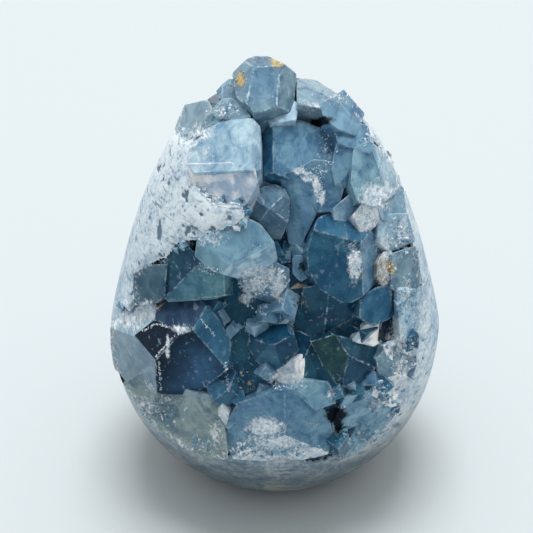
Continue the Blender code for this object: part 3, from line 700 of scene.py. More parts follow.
# %% Finishes by facet, partly painted light
# Each tone below is partly painted light and partly the crystal's own colour. The two near-white ones stand
# almost wholly for light: a painted reflection and a painted glow.
TONES_AND_PAINTED_LIGHT = {
    "deep": ("#4f8bad", 0.45, 0.0), "blue": ("#45809f", 0.50, 0.0), "ink": ("#1c5675", 0.45, 0.0),
    "navy": ("#04182e", 0.30, 0.0), "dark": ("#306078", 0.40, 0.0), "teal": ("#6aa0ae", 0.40, 0.03),
    "steel": ("#80b0cf", 0.40, 0.03), "slate": ("#8fbad3", 0.30, 0.04), "haze": ("#8fc0d8", 0.40, 0.05),
    "violet": ("#f0f7ff", 0.06, 0.06), "milk": ("#bfe3f8", 0.30, 0.06), "frost": ("#abd0e6", 0.25, 0.24),
    "white": ("#e4f2fa", 0.12, 0.45), "smoke": ("#4f748a", 0.40, 0.02), "grey": ("#3f5a7a", 0.35, 0.0),
    "olive": ("#3d6462", 0.45, 0.02), "mirror": ("#eef6fb", 0.05, 0.0), "stain": ("#c8b694", 0.10, 0.30),
    "dusk": ("#6d8b9d", 0.02, 0.02), "pearl": ("#8fb2c6", 0.35, 0.12), "ash": ("#93a9ac", 0.25, 0.08),
}
TONE_AND_LIGHT_NAMES = list(TONES_AND_PAINTED_LIGHT)


def mark_finish(item, words, facets):
    """Writes each face's finish number."""
    words = words.split()
    normals = [facet_normal(*facet[3:]) for facet in facets]
    mark = item.data.attributes.new("finish", "INT", "FACE")
    for face in item.data.polygons:
        leans = [face.normal.dot(normal) for normal in normals]
        nearest = leans.index(max(leans))
        mark.data[face.index].value = TONE_AND_LIGHT_NAMES.index(words[min(nearest, len(words) - 1)])


crystals = []
for crystal in CRYSTALS:
    item = make_crystal(crystal)
    item.name = crystal.name
    mark_finish(item, crystal.finishes, crystal.facets)
    crystals.append(item)
print("made", len(crystals), "crystals with", sum(len(c.data.polygons) for c in crystals), "faces")

# %% [markdown]
# Between the large crystals stands a druse of small ones, stubby blocks with a chisel head. One
# is a cube cut twice by bisect. They are scattered by chance where no large crystal stands, in
# the same places as in the solid, and each takes one finish by chance.

# %% Small crystals
LINING_CENTRE = Vector((1.5, 1, 0))
LINING_RADII = (37, 46.5, 25.5)
SMALL_COUNT = 60
SMALL_CLEAR = 1.5
SMALL_SUNK = 1
SMALL_WIDTH = (3, 6)
SMALL_DEPTH_SHARE = (0.6, 1.0)
SMALL_LENGTH_SHARE = (1.2, 1.7)
SMALL_CHISEL = (35, 60)
SMALL_CHISEL_AT = 0.45
SMALL_LEAN = 0.5
SMALL_SEED = 7
SMALL_FINISH_SEED = 21
SMALL_FINISHES = ["steel", "deep", "haze", "slate", "dark", "blue"]
STRAIGHT = (0, 0, 0, 0, 0)


def inside_outline(outline, across, up):
    inside = False
    for (a0, u0), (a1, u1) in zip(outline, outline[1:] + outline[:1]):
        if (u0 > up) != (u1 > up) and across < a0 + (up - u0) * (a1 - a0) / (u1 - u0):
            inside = not inside
    return inside


def lining_out(across, up):
    part_across = (across - LINING_CENTRE.x) / LINING_RADII[0]
    part_up = (up - LINING_CENTRE.y) / LINING_RADII[1]
    return LINING_RADII[2] * math.sqrt(max(1 - part_across ** 2 - part_up ** 2, 0))


def small_crystal(luck, across, up):
    foot = Vector((across, up, lining_out(across, up) - SMALL_SUNK))
    width = luck.uniform(*SMALL_WIDTH)
    depth = width * luck.uniform(*SMALL_DEPTH_SHARE)
    length = width * luck.uniform(*SMALL_LENGTH_SHARE)
    item = add_shape(bpy.ops.mesh.primitive_cube_add, size=1)
    for vertex in item.data.vertices:
        vertex.co = Vector((vertex.co.x * width, vertex.co.y * depth, vertex.co.z * length)) * MM
    edit(item)
    for side in (-1, 1):
        lean = math.radians(luck.uniform(*SMALL_CHISEL)) * side
        cut_off((0, 0, length * SMALL_CHISEL_AT * MM), (math.sin(lean), 0, math.cos(lean)))
    leave()
    leaning = Vector([luck.uniform(-SMALL_LEAN, SMALL_LEAN) for _ in range(3)])
    spin = Matrix.Rotation(luck.uniform(0, math.pi), 4, "Z")
    outward = FACE.to_3x3() @ foot
    turn = (outward.normalized() + leaning).to_track_quat("Z", "Y").to_matrix().to_4x4() @ spin
    item.data.transform(FACE.to_3x3().inverted().to_4x4() @ turn)
    item.data.transform(Matrix.Translation(foot * MM))
    return item


luck = random.Random(SMALL_SEED)
picking = random.Random(SMALL_FINISH_SEED)
room = grown(MOUTH, -SMALL_CLEAR)
small = []
while len(small) < SMALL_COUNT:
    across = luck.uniform(-HALF_WIDTH / MM, HALF_WIDTH / MM)
    up = luck.uniform(-HALF_WIDTH / MM, EGG_HEIGHT / MM / 2)
    covered = any(inside_outline(crystal.outline, across, up) for crystal in CRYSTALS)
    if inside_outline(room, across, up) and not covered:
        item = small_crystal(luck, across, up)
        mark_finish(item, picking.choice(SMALL_FINISHES), [STRAIGHT])
        small.append(item)
print(len(small), "small crystals")

# %% [markdown]
# The lining is the layer that they all grow from, a flattened ball. Everything is joined and
# made one body: a boolean with the hollow's space, a little larger than the real one, melts the
# crystals together and sinks their roots a little into the stone, so that no seam shows between
# stone and crystal.

# %% One crust
ROOTED = 0.6
LINING_DROP = 0.6
LINING_SEGMENTS = 40
LINING_RINGS = 20
SEAM_MERGED = 0.01
SEAM_ANGLE = math.radians(0.5)

lining = add_shape(bpy.ops.mesh.primitive_uv_sphere_add, segments=LINING_SEGMENTS, ring_count=LINING_RINGS,
                   radius=1)
for vertex in lining.data.vertices:
    parts = zip(vertex.co, LINING_RADII, LINING_CENTRE)
    vertex.co = Vector([c * (r - LINING_DROP) + m for c, r, m in parts]) * MM
mark_finish(lining, "dark", [STRAIGHT])
crust = join(crystals + small + [lining], "crystal_hollow")
apply_boolean(crust, hollow(MOUTH, ROOTED), "INTERSECT", overlapping=True)
edit(crust)
bpy.ops.mesh.remove_doubles(threshold=SEAM_MERGED * MM)
bpy.ops.mesh.dissolve_limited(angle_limit=SEAM_ANGLE)
leave()
print("crust", len(crust.data.polygons), "faces")

# %% [markdown]
# Real edges are never knife sharp. Every outer edge that is long enough is bevelled by a sixth of
# a millimetre, which is what catches the light. Only the narrow strips are marked as worn, because
# the bevel also picks small facets that it has gone all the way round. The paint later makes these
# strips pale, partly for wear and partly as a painted highlight.

# %% Worn edges
WORN_EDGE = 0.16
WORN_WIDEST = 0.3
WORN_ANGLE = math.radians(22)
SHORTEST_WORN = 0.7


def sharp_edges(mesh, angle, shortest):
    """Numbers of the edges that stand out as ridges."""
    bm = bmesh.new()
    bm.from_mesh(mesh)
    found = [e.index for e in bm.edges if len(e.link_faces) == 2
             and e.calc_face_angle_signed(0) > angle and e.calc_length() > shortest]
    bm.free()
    return found


def narrow_faces(mesh, widest):
    """1 for each face that is a strip narrower than that, 0 for each other one."""
    bm = bmesh.new()
    bm.from_mesh(mesh)
    marks = [int(2 * face.calc_area() < widest * face.calc_perimeter()) for face in bm.faces]
    bm.free()
    return marks


ridges = sharp_edges(crust.data, WORN_ANGLE, SHORTEST_WORN * MM)
edit(crust)
bpy.ops.mesh.select_mode(type="EDGE")
bpy.ops.mesh.select_all(action="DESELECT")
leave()
for index in ridges:
    crust.data.edges[index].select = True
bpy.ops.object.mode_set(mode="EDIT")
bpy.ops.mesh.bevel(offset=WORN_EDGE * MM, segments=1, affect="EDGES", clamp_overlap=False)
leave()
edge_mark = crust.data.attributes.new("edge", "INT", "FACE")
edge_mark.data.foreach_set("value", narrow_faces(crust.data, WORN_WIDEST * MM))
edit(crust)
bpy.ops.mesh.select_mode(type="VERT")
leave()
print(len(ridges), "edges worn,", len(crust.data.polygons), "faces")

# %% [markdown]
# To carry frost, stains and relief the flat facets need points inside them. Cutting the crust
# with planes a millimetre or two apart gives them, and each facet stays as flat as it was.

# %% Points for relief
CUTS = [((1, 0, 0), -38, 38, 0.9), ((0, 1, 0), -40, 58, 0.9), ((0, 0, 1), 0, 40, 1.8)]
TILE_SNAP = 1e-7

for normal, place, end, step in CUTS:
    edit(crust)
    while place < end:
        bpy.ops.mesh.select_all(action="SELECT")
        bpy.ops.mesh.bisect(plane_co=[n * place * MM for n in normal], plane_no=normal,
                            threshold=TILE_SNAP)
        place += step
    leave()
print("crust with points", len(crust.data.polygons), "faces")

# %% [markdown]
# ## Druse
# Where the stone meets the crystals, and on every frosted patch, stands a sugar of crystals about
# a millimetre long. Three shapes are modelled once: a block with a chisel head, a tooth and a
# crumb. Each grain is a copy of one of them with its own mesh, stretched and turned by chance.

# %% Three grains
GRAIN_SEED = 31
CHISEL_CUTS = [((0, 0, 0.42), (0.75, 0.1, 0.65)), ((0, 0, 0.40), (-0.6, -0.15, 0.75))]
TOOTH_RADII = (0.55, 0.18)
TOOTH_LENGTH = 1.3
CRUMB_RADIUS = 0.55
GRAIN_STRETCH = [(0.7, 1.2), (0.5, 1.0), (0.9, 1.6)]


def grain_shape(item, name, cuts=()):
    item.name = name
    edit(item)
    for place, normal in cuts:
        cut_off(place, normal)
    bpy.ops.mesh.select_all(action="SELECT")
    bpy.ops.mesh.convex_hull()
    leave()
    return item


block = grain_shape(add_shape(bpy.ops.mesh.primitive_cube_add, size=1), "block", CHISEL_CUTS)
tooth = add_shape(bpy.ops.mesh.primitive_cone_add, vertices=4, radius1=TOOTH_RADII[0], radius2=TOOTH_RADII[1],
                  depth=TOOTH_LENGTH)
tooth = grain_shape(tooth, "tooth")
crumb = add_shape(bpy.ops.mesh.primitive_ico_sphere_add, subdivisions=1, radius=CRUMB_RADIUS)
crumb = grain_shape(crumb, "crumb")
SHAPES = (block, block, tooth, crumb)
sowing = random.Random(GRAIN_SEED)


def grain(place, heading, size, finish):
    """One grain at a place on the face, in millimetres."""
    item = sowing.choice(SHAPES).copy()
    item.data = item.data.copy()
    bpy.context.scene.collection.objects.link(item)
    stretch = [sowing.uniform(*limits) for limits in GRAIN_STRETCH]
    spin = Matrix.Rotation(sowing.uniform(0, math.pi), 4, "Z")
    turn = heading.to_track_quat("Z", "Y").to_matrix().to_4x4() @ spin
    item.data.transform(turn @ Matrix.Diagonal([s * size * MM for s in stretch] + [1]))
    item.data.transform(Matrix.Translation(place * MM))
    mark = item.data.attributes.new("finish", "INT", "FACE")
    mark.data.foreach_set("value", [TONE_AND_LIGHT_NAMES.index(finish)] * len(item.data.polygons))
    return item


print("three grain shapes")

# %% [markdown]
# The lip is lined all along the mouth's outline, save where the tip is open. Its height above the
# crystals differs from place to place, so a ray from the front finds the stone's surface just
# outside the outline, and the grains hang below it, facing out and towards the middle.

# %% Druse on the lip
LIP_SPACING = 0.42
LIP_SIZE = (0.9, 2.6)
LIP_BELOW = (0.3, 4.0)
LIP_INSET = (-0.2, 1.3)
LIP_FINISHES = ["frost", "frost", "white", "haze", "haze", "slate", "steel"]
OPEN_TIP = 40
LIP_SHARE = (0.6, 1)
LIP_OUTSIDE = 0.7
LIP_INWARD = 0.7
LIP_FORWARD = 0.9
LIP_LEAN = 0.5
BACKWARD = Vector((0, 0, -1))


def ray_tree(item, into_face):
    """Something to shoot rays at, in face coordinates and millimetres."""
    turn = FACE.inverted() if into_face else Matrix.Identity(4)
    corners = [turn @ v.co / MM for v in item.data.vertices]
    return BVHTree.FromPolygons(corners, [list(face.vertices) for face in item.data.polygons])


stone_rays = ray_tree(egg, True)
crust_rays = ray_tree(crust, False)
grains = []
for start, end in zip(MOUTH, MOUTH[1:] + MOUTH[:1]):
    side = Vector(end) - Vector(start)
    inward = Vector((side.y, -side.x)).normalized()
    for i in range(round(side.length / LIP_SPACING)):
        at = Vector(start) + side * sowing.random()
        hit = stone_rays.ray_cast(Vector((*(at - inward * LIP_OUTSIDE), FRONT_OUT)), BACKWARD)[0]
        if hit is None or at.y > OPEN_TIP:
            continue
        size = sowing.uniform(*LIP_SIZE) * sowing.uniform(*LIP_SHARE)
        inset = inward * sowing.uniform(*LIP_INSET)
        place = Vector((*(at + inset), hit.z - sowing.uniform(*LIP_BELOW)))
        heading = Vector((*(inward * LIP_INWARD), LIP_FORWARD))
        heading += Vector([sowing.uniform(-LIP_LEAN, LIP_LEAN) for _ in range(3)])
        grains.append(grain(place, heading, size, sowing.choice(LIP_FINISHES)))
print(len(grains), "grains on the lip")

# %% [markdown]
# Elsewhere the druse sits in patches: a place, two radii, how many grains, their sizes and their
# finishes. Most grains of a patch are near its middle and small. Finer ones follow lines where
# two facets meet. A ray from the front finds where each one lands, on crystal or on stone.

# %% Druse in patches
DRUSE = [
    (-2.5, 1.5, 5.5, 3.2, 190, 0.4, 1.1, "white white frost"), (-5.5, -3, 1, 2, 22, 0.3, 0.7, "white"),
    (-2.5, -4.8, 1.5, 1.2, 18, 0.3, 0.7, "white"), (19.5, 14.5, 2.6, 2.6, 60, 0.4, 1.0, "white white haze"),
    (21, 19, 3.5, 2.2, 45, 0.4, 0.9, "white frost"), (7.5, 23.6, 3.4, 1.2, 45, 0.25, 0.7, "white"),
    (9, 20.3, 1, 2.6, 34, 0.25, 0.7, "white"), (16.6, 5, 1.5, 3.6, 60, 0.3, 0.9, "white white stain"),
    (24, 4, 1.8, 3, 40, 0.4, 0.9, "stain white frost"),
    (26, 10.5, 3, 4.5, 90, 0.5, 1.3, "frost haze white slate"),
    (28, -2, 2.6, 5, 80, 0.5, 1.3, "frost haze haze slate"),
    (27, -14, 3.6, 5, 90, 0.5, 1.5, "frost haze steel white"),
    (24, -24, 4.5, 4, 90, 0.5, 1.4, "haze steel frost"),
    (18, -31.5, 5.5, 3.5, 90, 0.5, 1.4, "haze slate frost"),
    (0, -34.5, 11, 1.8, 130, 0.4, 1.1, "white frost haze slate"),
    (-15, -33.5, 4, 2, 60, 0.4, 1.1, "frost white slate"),
    (-24, -27.5, 6, 3.2, 110, 0.4, 1.2, "frost haze slate white"),
    (-27.5, -4.2, 3, 1.2, 50, 0.3, 0.8, "white frost"),
    (-31, -7, 2, 1.6, 30, 0.3, 0.8, "frost white"), (-13, 3.6, 3.5, 0.8, 34, 0.3, 0.8, "frost white"),
    (-8.5, 44, 2.5, 1.5, 26, 0.3, 0.8, "frost smoke"), (12, 40.5, 4.5, 2, 40, 0.3, 0.9, "frost white haze"),
    (10.8, 29, 2.2, 4, 60, 0.2, 0.5, "white"), (13, -26, 2, 2.4, 50, 0.3, 0.7, "white dark dark"),
    (-11, 36.5, 3.5, 2.2, 60, 0.3, 0.9, "frost white haze"), (-6, -8, 4, 1.2, 24, 0.2, 0.5, "frost"),
    (2, -20.8, 5, 0.8, 34, 0.3, 0.7, "white"), (-7, -18.5, 3, 3, 36, 0.3, 0.8, "stain haze smoke"),
    (5, -2.5, 1.8, 2, 24, 0.3, 0.7, "olive stain"), (20, 31, 3, 2, 40, 0.3, 0.8, "frost white"),
]
CRUST_LINES = [
    ((-21, -10), (-25.3, -14.6)), ((-21, -10), (-18, -8.2)), ((-28.5, -9.4), (-25.5, -7.6)),
    ((-25.5, -7.6), (-22.5, -8.2)), ((-24.6, -15.5), (-24.6, -22)), ((-15.5, -6.5), (-12.6, -10)),
    ((-10.6, -15.5), (-9.8, -22)), ((-11, 3.2), (-15.5, 4.8)),
]
LINE_SPACING = 0.12
LINE_SPREAD = 0.13
LINE_SIZE = (0.15, 0.5)
SUNK_SHARE = 0.2
PATCH_LEAN = 0.7
TOWARD_MIDDLE = 0.7
MOSTLY_SMALL = 2


def land(across, up):
    """Where a ray from the front meets crystal or stone, and that surface's normal."""
    above = Vector((across, up, FRONT_OUT))
    hits = [tree.ray_cast(above, BACKWARD)[:2] for tree in (crust_rays, stone_rays)]
    hits = [hit for hit in hits if hit[0] is not None]
    return max(hits, key=lambda hit: hit[0].z) if hits else None


def sow(across, up, size, finish):
    landed = land(across, up)
    if landed:
        place, normal = landed
        heading = normal + Vector([sowing.uniform(-PATCH_LEAN, PATCH_LEAN) for _ in range(3)])
        grains.append(grain(place - normal * size * SUNK_SHARE, heading, size, finish))


for across, up, wide, tall, count, smallest, largest, finishes in DRUSE:
    for _ in range(count):
        heading = sowing.uniform(0, math.tau)
        reach = sowing.random() ** TOWARD_MIDDLE
        size = smallest + (largest - smallest) * sowing.random() ** MOSTLY_SMALL
        sow(across + wide * reach * math.cos(heading), up + tall * reach * math.sin(heading), size,
            sowing.choice(finishes.split()))
for start, end in CRUST_LINES:
    for _ in range(round(math.dist(start, end) / LINE_SPACING)):
        at = Vector(start).lerp(Vector(end), sowing.random())
        sow(at.x + sowing.gauss(0, LINE_SPREAD), at.y + sowing.gauss(0, LINE_SPREAD),
            sowing.uniform(*LINE_SIZE), "white")
for shape in (block, tooth, crumb):
    bpy.data.objects.remove(shape, do_unlink=True)
crust = join([crust] + grains, "crystal_hollow")
print(len(grains), "grains,", len(crust.data.polygons), "faces in the crust")

# %% [markdown]
# ## Where the frost, the stains, the painted shade and the painted glow are
# White frost, rust-coloured stains, painted shade in dark pockets and a painted glow, where light
# shining through the crystal is painted as a brighter blue, don't follow the facets.
# They are drawn as soft spots on the face: a place, two radii in millimetres, and a strength. The
# strongest one counts at every point of the crust, and the material breaks its edge up with noise.

# %% Soft spots on the crust
FROST_SPOTS = [
    (-14.5, 27.5, 3, 2.5, 0.4), (-11.5, 36.5, 3.5, 2, 0.4), (-16, 33, 2.5, 2, 0.45), (-15.5, 21, 2, 4, 0.5),
    (-8, 17.5, 4, 1, 0.35), (1, 37, 3, 2.5, 0.15),
    (5, 24, 1.3, 0.8, 1.0), (7, 22.6, 1.6, 0.8, 1.0), (8.6, 20.8, 0.8, 1.8, 1.0), (9.6, 18.6, 0.8, 1.6, 0.9),
    (12, 22, 3, 3.5, 0.3), (10.5, 28, 2.5, 3.5, 0.35), (9, 25, 4, 1.2, 0.4), (14.5, 31, 1.5, 1.5, 0.3),
    (21, 23, 3.5, 4, 0.25), (21, 19, 4, 3.5, 0.75), (19, 14.5, 2.5, 2.5, 0.9), (13, 40, 3, 3, 0.45),
    (18, 36, 3, 3, 0.4), (8, 37.5, 3, 1.5, 0.4), (16.5, 5, 1.4, 3.6, 1.0), (15.8, 8.5, 2.2, 1.5, 0.5),
    (23, 9, 2.5, 3, 0.6), (24, 4, 1.8, 3, 0.5), (-3, 3, 5, 1.4, 0.7), (-4.5, 0.6, 2.6, 2.2, 0.7),
    (0.6, 1, 1.6, 3, 0.9), (-6, -2.2, 1.5, 1.2, 0.9), (1, -2.5, 1.2, 1, 0.6), (-13, 10, 4, 2, 0.5),
    (-4.5, 8.5, 4, 1.2, 0.3), (-17, 4.5, 3, 1, 0.4), (-27.5, -4.5, 2.5, 2, 0.8), (-31, -7, 2.5, 2, 0.6),
    (-22.6, -12.5, 0.5, 3.2, 0.9), (-19.5, -8.5, 3.2, 1, 0.7), (-28, -21, 3, 1.5, 0.4),
    (-24, -24.5, 5, 1.5, 0.4), (-28, -26, 4, 3, 0.5), (-12.5, -31, 2, 4, 0.5),
    (-2, -29.5, 4.5, 2.2, 0.85), (-1, -32.5, 8, 1.6, 0.6),
    (8, -29, 1.8, 1.5, 0.4), (2, -19, 4.5, 1.6, 0.75), (5, -17.5, 1, 3, 0.5), (12, -22.5, 1.2, 1.5, 0.6),
    (12.5, -26, 1.5, 1, 0.4), (26, -11, 3, 5, 0.55), (27, -18, 2, 5, 0.6), (22, -25, 3, 3, 0.5),
    (17, -33, 5, 2.5, 0.35), (9, -35.5, 6, 1.6, 0.5), (-8, -35, 6, 1.4, 0.5), (28, -1, 2.5, 4, 0.45),
    (27, 12, 2.5, 4, 0.5), (6, -8, 1, 3, 0.25), (13, -6.5, 6, 0.7, 0.4),
]
STAIN_SPOTS = [
    (-7.2, 43.5, 1.1, 2.0, 1.1), (0.8, 47.4, 1.8, 1.6, 1.3), (-0.6, 49, 0.8, 0.8, 0.8),
    (-4.5, 47, 1.2, 1.2, 0.5), (2.2, 38.5, 1.2, 1, 0.3), (24, 4.2, 1.6, 1.8, 0.9),
    (18.2, 2.5, 0.8, 1.4, 0.6), (-3.2, 12.4, 0.8, 0.7, 0.6), (5, -2.6, 2, 2, 0.4),
    (-25, -3.4, 2.2, 0.9, 0.6), (-5, -21, 1.5, 1.5, 0.5), (-12, -35, 1.4, 1.4, 0.5),
    (2.5, -20.5, 0.6, 0.6, 0.4), (-7, -18.5, 2.2, 3, 0.25),
]
# Painted shade: near-black spots in the deep pockets and holes between crystals, where shade falls.
PAINTED_SHADE_SPOTS = [
    (9.4, 34.4, 3, 1, 1.0), (13, -27.2, 2.6, 2.0, 1.0), (13.6, -29.6, 1.0, 1.8, 1.0),
    (5.6, 4.4, 1.6, 2, 0.7), (-1.5, 24.5, 0.8, 4, 0.3), (-10.5, 34.8, 3.4, 0.9, 0.6),
    (4.6, -8.8, 1.2, 2, 0.6), (-9.6, -16, 1, 4, 0.4),
]
# Painted glow: brighter blue spots where light shining through the crystal from behind is painted into its
# colour.
PAINTED_GLOW_SPOTS = [
    (-15.5, -18, 4, 4.5, 1.0), (-12.5, -12, 1.5, 4, 0.6), (-20, -21, 4, 1.5, 0.5), (-8, 10, 4, 2.5, 0.4),
    (14, 3, 5, 4, 0.35), (0, -12, 3, 2.5, 0.25), (7, 15, 2, 4, 0.4), (-17, 0, 4, 2, 0.5), (2, -26, 5, 3, 0.3),
    (21, -2, 3, 2, 0.4), (-12, 22, 4, 3, 0.4), (17, -19, 3, 2, 0.3), (6, 28, 3, 3, 0.3), (-3, 42, 3, 3, 0.3),
]
RIM_FROST = 0.4
RIM_REACH = 1.6
SPOT_FALL = 0.7
FROSTED = 0.4


def spots_at(points, spots):
    """The strongest soft spot at each point on the face, in millimetres."""
    total = np.zeros(len(points))
    for across, up, wide, tall, strength in spots:
        gone = ((points[:, 0] - across) / wide) ** 2 + ((points[:, 1] - up) / tall) ** 2
        total = np.maximum(total, strength * np.exp(-gone * SPOT_FALL))
    return total


def linear(code):
    """An sRGB hex colour as the linear numbers that a shader wants."""
    parts = [int(code[i:i + 2], 16) / 255 for i in (1, 3, 5)]
    return tuple(p / 12.92 if p <= 0.04045 else ((p + 0.055) / 1.055) ** 2.4 for p in parts)


places = read_points(crust.data) / MM
frost = spots_at(places, FROST_SPOTS)
frost = np.maximum(frost, RIM_FROST * np.exp(-(to_outline(places, MOUTH) / RIM_REACH) ** 2))
worn = np.zeros(len(places))
for face, mark in zip(crust.data.polygons, crust.data.attributes["edge"].data):
    if mark.value:
        worn[list(face.vertices)] = 1
finish = np.empty(len(crust.data.polygons), np.int32)
crust.data.attributes["finish"].data.foreach_get("value", finish)
tones = np.array([(*linear(code), clear) for code, clear, _ in TONES_AND_PAINTED_LIGHT.values()])[finish]
cloudiness = np.array([cloud for _, _, cloud in TONES_AND_PAINTED_LIGHT.values()])[finish]
float_attribute(crust.data, "tone", tones, "FACE")
float_attribute(crust.data, "cloud", cloudiness, "FACE")
float_attribute(crust.data, "frost", frost)
float_attribute(crust.data, "worn", worn)
for name, spots in (("stain", STAIN_SPOTS), ("shade", PAINTED_SHADE_SPOTS), ("painted_glow", PAINTED_GLOW_SPOTS)):
    float_attribute(crust.data, name, spots_at(places, spots))
print("frost on", round(float((frost > FROSTED).mean()) * 100), "percent of the points")

# %% [markdown]
# Frosted patches aren't only white, they are rough. Each point there is pushed in or out a
# little along its normal, and so are the points on worn edges, so that no edge is ruler straight.

# %% Relief of the crust
FROST_RELIEF = 0.22
EDGE_RELIEF = 0.10
RELIEF_SIZE = 1.1
ROUGH_FROM = 0.25
ROUGH_GAIN = 1.5

roughened = FROST_RELIEF * np.clip(frost * ROUGH_GAIN, 0, 1) * (frost > ROUGH_FROM)
amounts = np.maximum(roughened, EDGE_RELIEF * worn)
bumps = np.array([noise.noise(Vector(p) / RELIEF_SIZE) for p in places])
places += read_normals(crust.data) * (amounts * bumps)[:, None]
crust.data.vertices.foreach_set("co", (places * MM).astype(np.float32).ravel())
crust.data.update()
crust.data.transform(FACE)
print("crust stands in the egg")

# %% [markdown]
# ## Materials
# One small function adds a shader node, sets its values and links its inputs.

# %% A node
def add_node(tree, kind, links=None, **settings):
    node = tree.nodes.new(kind)
    for key, value in settings.items():
        setattr(node, key, value)
    for socket, source in (links or {}).items():
        if isinstance(source, bpy.types.NodeSocket):
            tree.links.new(source, node.inputs[socket])
        else:
            node.inputs[socket].default_value = source
    return node


def new_material(name):
    material = bpy.data.materials.new(name)
    material.use_nodes = True
    tree = material.node_tree
    return material, tree, tree.nodes["Principled BSDF"], tree.nodes["Material Output"]


def per_mm(size):
    """The noise scale that gives cells of that many millimetres."""
    return 1 / (size * MM)


def paint(code):
    return (*linear(code), 1)


# %% [markdown]
# Celestite is strontium sulphate: a soft, glassy mineral with an index of about 1.62. Its pale
# blue gets deep where one looks through a lot of it, which plain volume absorption gives, and
# most of it is a little cloudy, so only part of the light goes through. First come the patterns
# that it is painted with, each scaled by its real size: drifting clouds, a broken grain, hairlines
# that run one way, streaked fibres for druse, specks and the panes between cleavage planes.

# %% Celestite patterns
CLOUD_SIZE = 5
BREAK_SIZE = 1.3
HAIRLINE_SIZE = 1.1
HAIRLINE_LAY = ((0.5, 0.7, 0.3), (1, 0.09, 1))
FIBRE_SIZE = 0.9
FIBRE_LAY = ((0.25, 0.45, 0.8), (1, 0.38, 1))
SPECK_SIZE = 1.7
PANE_SIZE = 4.5
PANE_LAY = ((0.6, 0.35, 0.5), (1, 0.6, 1))

celestite, tree, shader, output = new_material("celestite_crystal")
where = add_node(tree, "ShaderNodeTexCoord").outputs["Object"]
tone = add_node(tree, "ShaderNodeAttribute", attribute_name="tone")
cloudy, frosty, stained, painted_shade_amount, worn_and_highlit_edge, painted_glow_amount = [
    add_node(tree, "ShaderNodeAttribute", attribute_name=name).outputs["Fac"]
    for name in ("cloud", "frost", "stain", "shade", "worn", "painted_glow")
]
along, streaked, tilted = [
    add_node(tree, "ShaderNodeMapping", {0: where, 2: turn, 3: stretch}).outputs[0]
    for turn, stretch in (HAIRLINE_LAY, FIBRE_LAY, PANE_LAY)
]
clouds, breaks, hairlines, fibres = [
    add_node(tree, "ShaderNodeTexNoise", {"Vector": laid, "Scale": per_mm(size), "Detail": detail,
             "Roughness": roughness, "Distortion": distortion}).outputs["Fac"]
    for laid, size, detail, roughness, distortion in (
        (where, CLOUD_SIZE, 6, 0.6, 1.2), (where, BREAK_SIZE, 7, 0.8, 0),
        (along, HAIRLINE_SIZE, 3, 0.5, 0.4), (streaked, FIBRE_SIZE, 8, 0.85, 0.3))
]
specks = add_node(tree, "ShaderNodeTexVoronoi", {"Vector": where, "Scale": per_mm(SPECK_SIZE)})
panes = add_node(tree, "ShaderNodeTexVoronoi", {"Vector": tilted, "Scale": per_mm(PANE_SIZE)},
                 distance="CHEBYCHEV")
pane = add_node(tree, "ShaderNodeSeparateColor", {0: panes.outputs["Color"]}).outputs[0]
print("patterns for celestite ready")

# %% [markdown]
# A spot's soft amount becomes a patch with a broken edge when noise is added before it is
# thresholded. `mask` builds that group of three nodes. Each row below is an amount, the pattern
# that breaks it, where its edge starts and ends, and how far the pattern reaches into it.

# %% Patches with broken edges
def mask(tree, amount, pattern, edge, reach):
    spread = add_node(tree, "ShaderNodeMath", {0: pattern, 1: 0.5}, operation="SUBTRACT").outputs[0]
    moved = add_node(tree, "ShaderNodeMath", {0: spread, 1: reach, 2: amount},
                     operation="MULTIPLY_ADD").outputs[0]
    return add_node(tree, "ShaderNodeMapRange", {"Value": moved, "From Min": edge[0], "From Max": edge[1]},
                    interpolation_type="SMOOTHSTEP").outputs["Result"]


frosty = add_node(tree, "ShaderNodeMath", {0: frosty, 1: cloudy}, operation="ADD").outputs[0]
# The masks: frost, stains, painted shade in dark pockets, and worn edges that carry a painted highlight.
frost_mask, stain_mask, painted_shade_mask, worn_edge_and_highlight_mask = [
    mask(tree, *row) for row in (
        (frosty, fibres, (0.36, 0.70), 1.7), (stained, breaks, (0.50, 0.85), 3.2),
        (painted_shade_amount, breaks, (0.40, 0.70), 1.1), (worn_and_highlit_edge, breaks, (0.80, 1.40), 3.0))
]
print("masks for frost, stains, dark pockets and worn edges ready")

# %% [markdown]
# The crystal's own blue drifts between a deeper and a paler kind of its tone, by clouds and by the
# panes between cleavage planes. What lies in it or on it is laid over that in turn, and so are a
# painted glow, painted highlights on worn edges and painted shade in dark pockets. A node that maps
# a range turns each pattern into an amount: where it starts, where it is full and how strong it gets.

# %% Celestite's colour
DEEPER = (0.52, 0.62, 0.72, 1)
PALER = (1.50, 1.36, 1.24, 1)
PANE_SHARE = 0.16

deeper, paler = [
    add_node(tree, "ShaderNodeMix", {0: 1.0, 6: tone.outputs["Color"], 7: change}, data_type="RGBA",
             blend_type="MULTIPLY").outputs[2]
    for change in (DEEPER, PALER)
]
drift = add_node(tree, "ShaderNodeMath", {0: pane, 1: PANE_SHARE, 2: clouds},
                 operation="MULTIPLY_ADD").outputs[0]
veil, line, deep_line, speck, gathered, streaks_and_painted_glints = [
    add_node(tree, "ShaderNodeMapRange", {"Value": value, "From Min": begin, "From Max": full,
             "To Max": most}).outputs["Result"]
    for value, begin, full, most in (
        (drift, 0.44, 0.74, 1), (hairlines, 0.62, 0.70, 0.5), (hairlines, 0.42, 0.30, 0.35),
        (specks.outputs["Distance"], 0.11, 0.05, 1), (clouds, 0.56, 0.70, 1), (fibres, 0.40, 0.60, 1))
]
painted_glow, speck = [
    add_node(tree, "ShaderNodeMath", {0: amount, 1: pattern}, operation="MULTIPLY").outputs[0]
    for amount, pattern in ((painted_glow_amount, clouds), (speck, gathered))
]
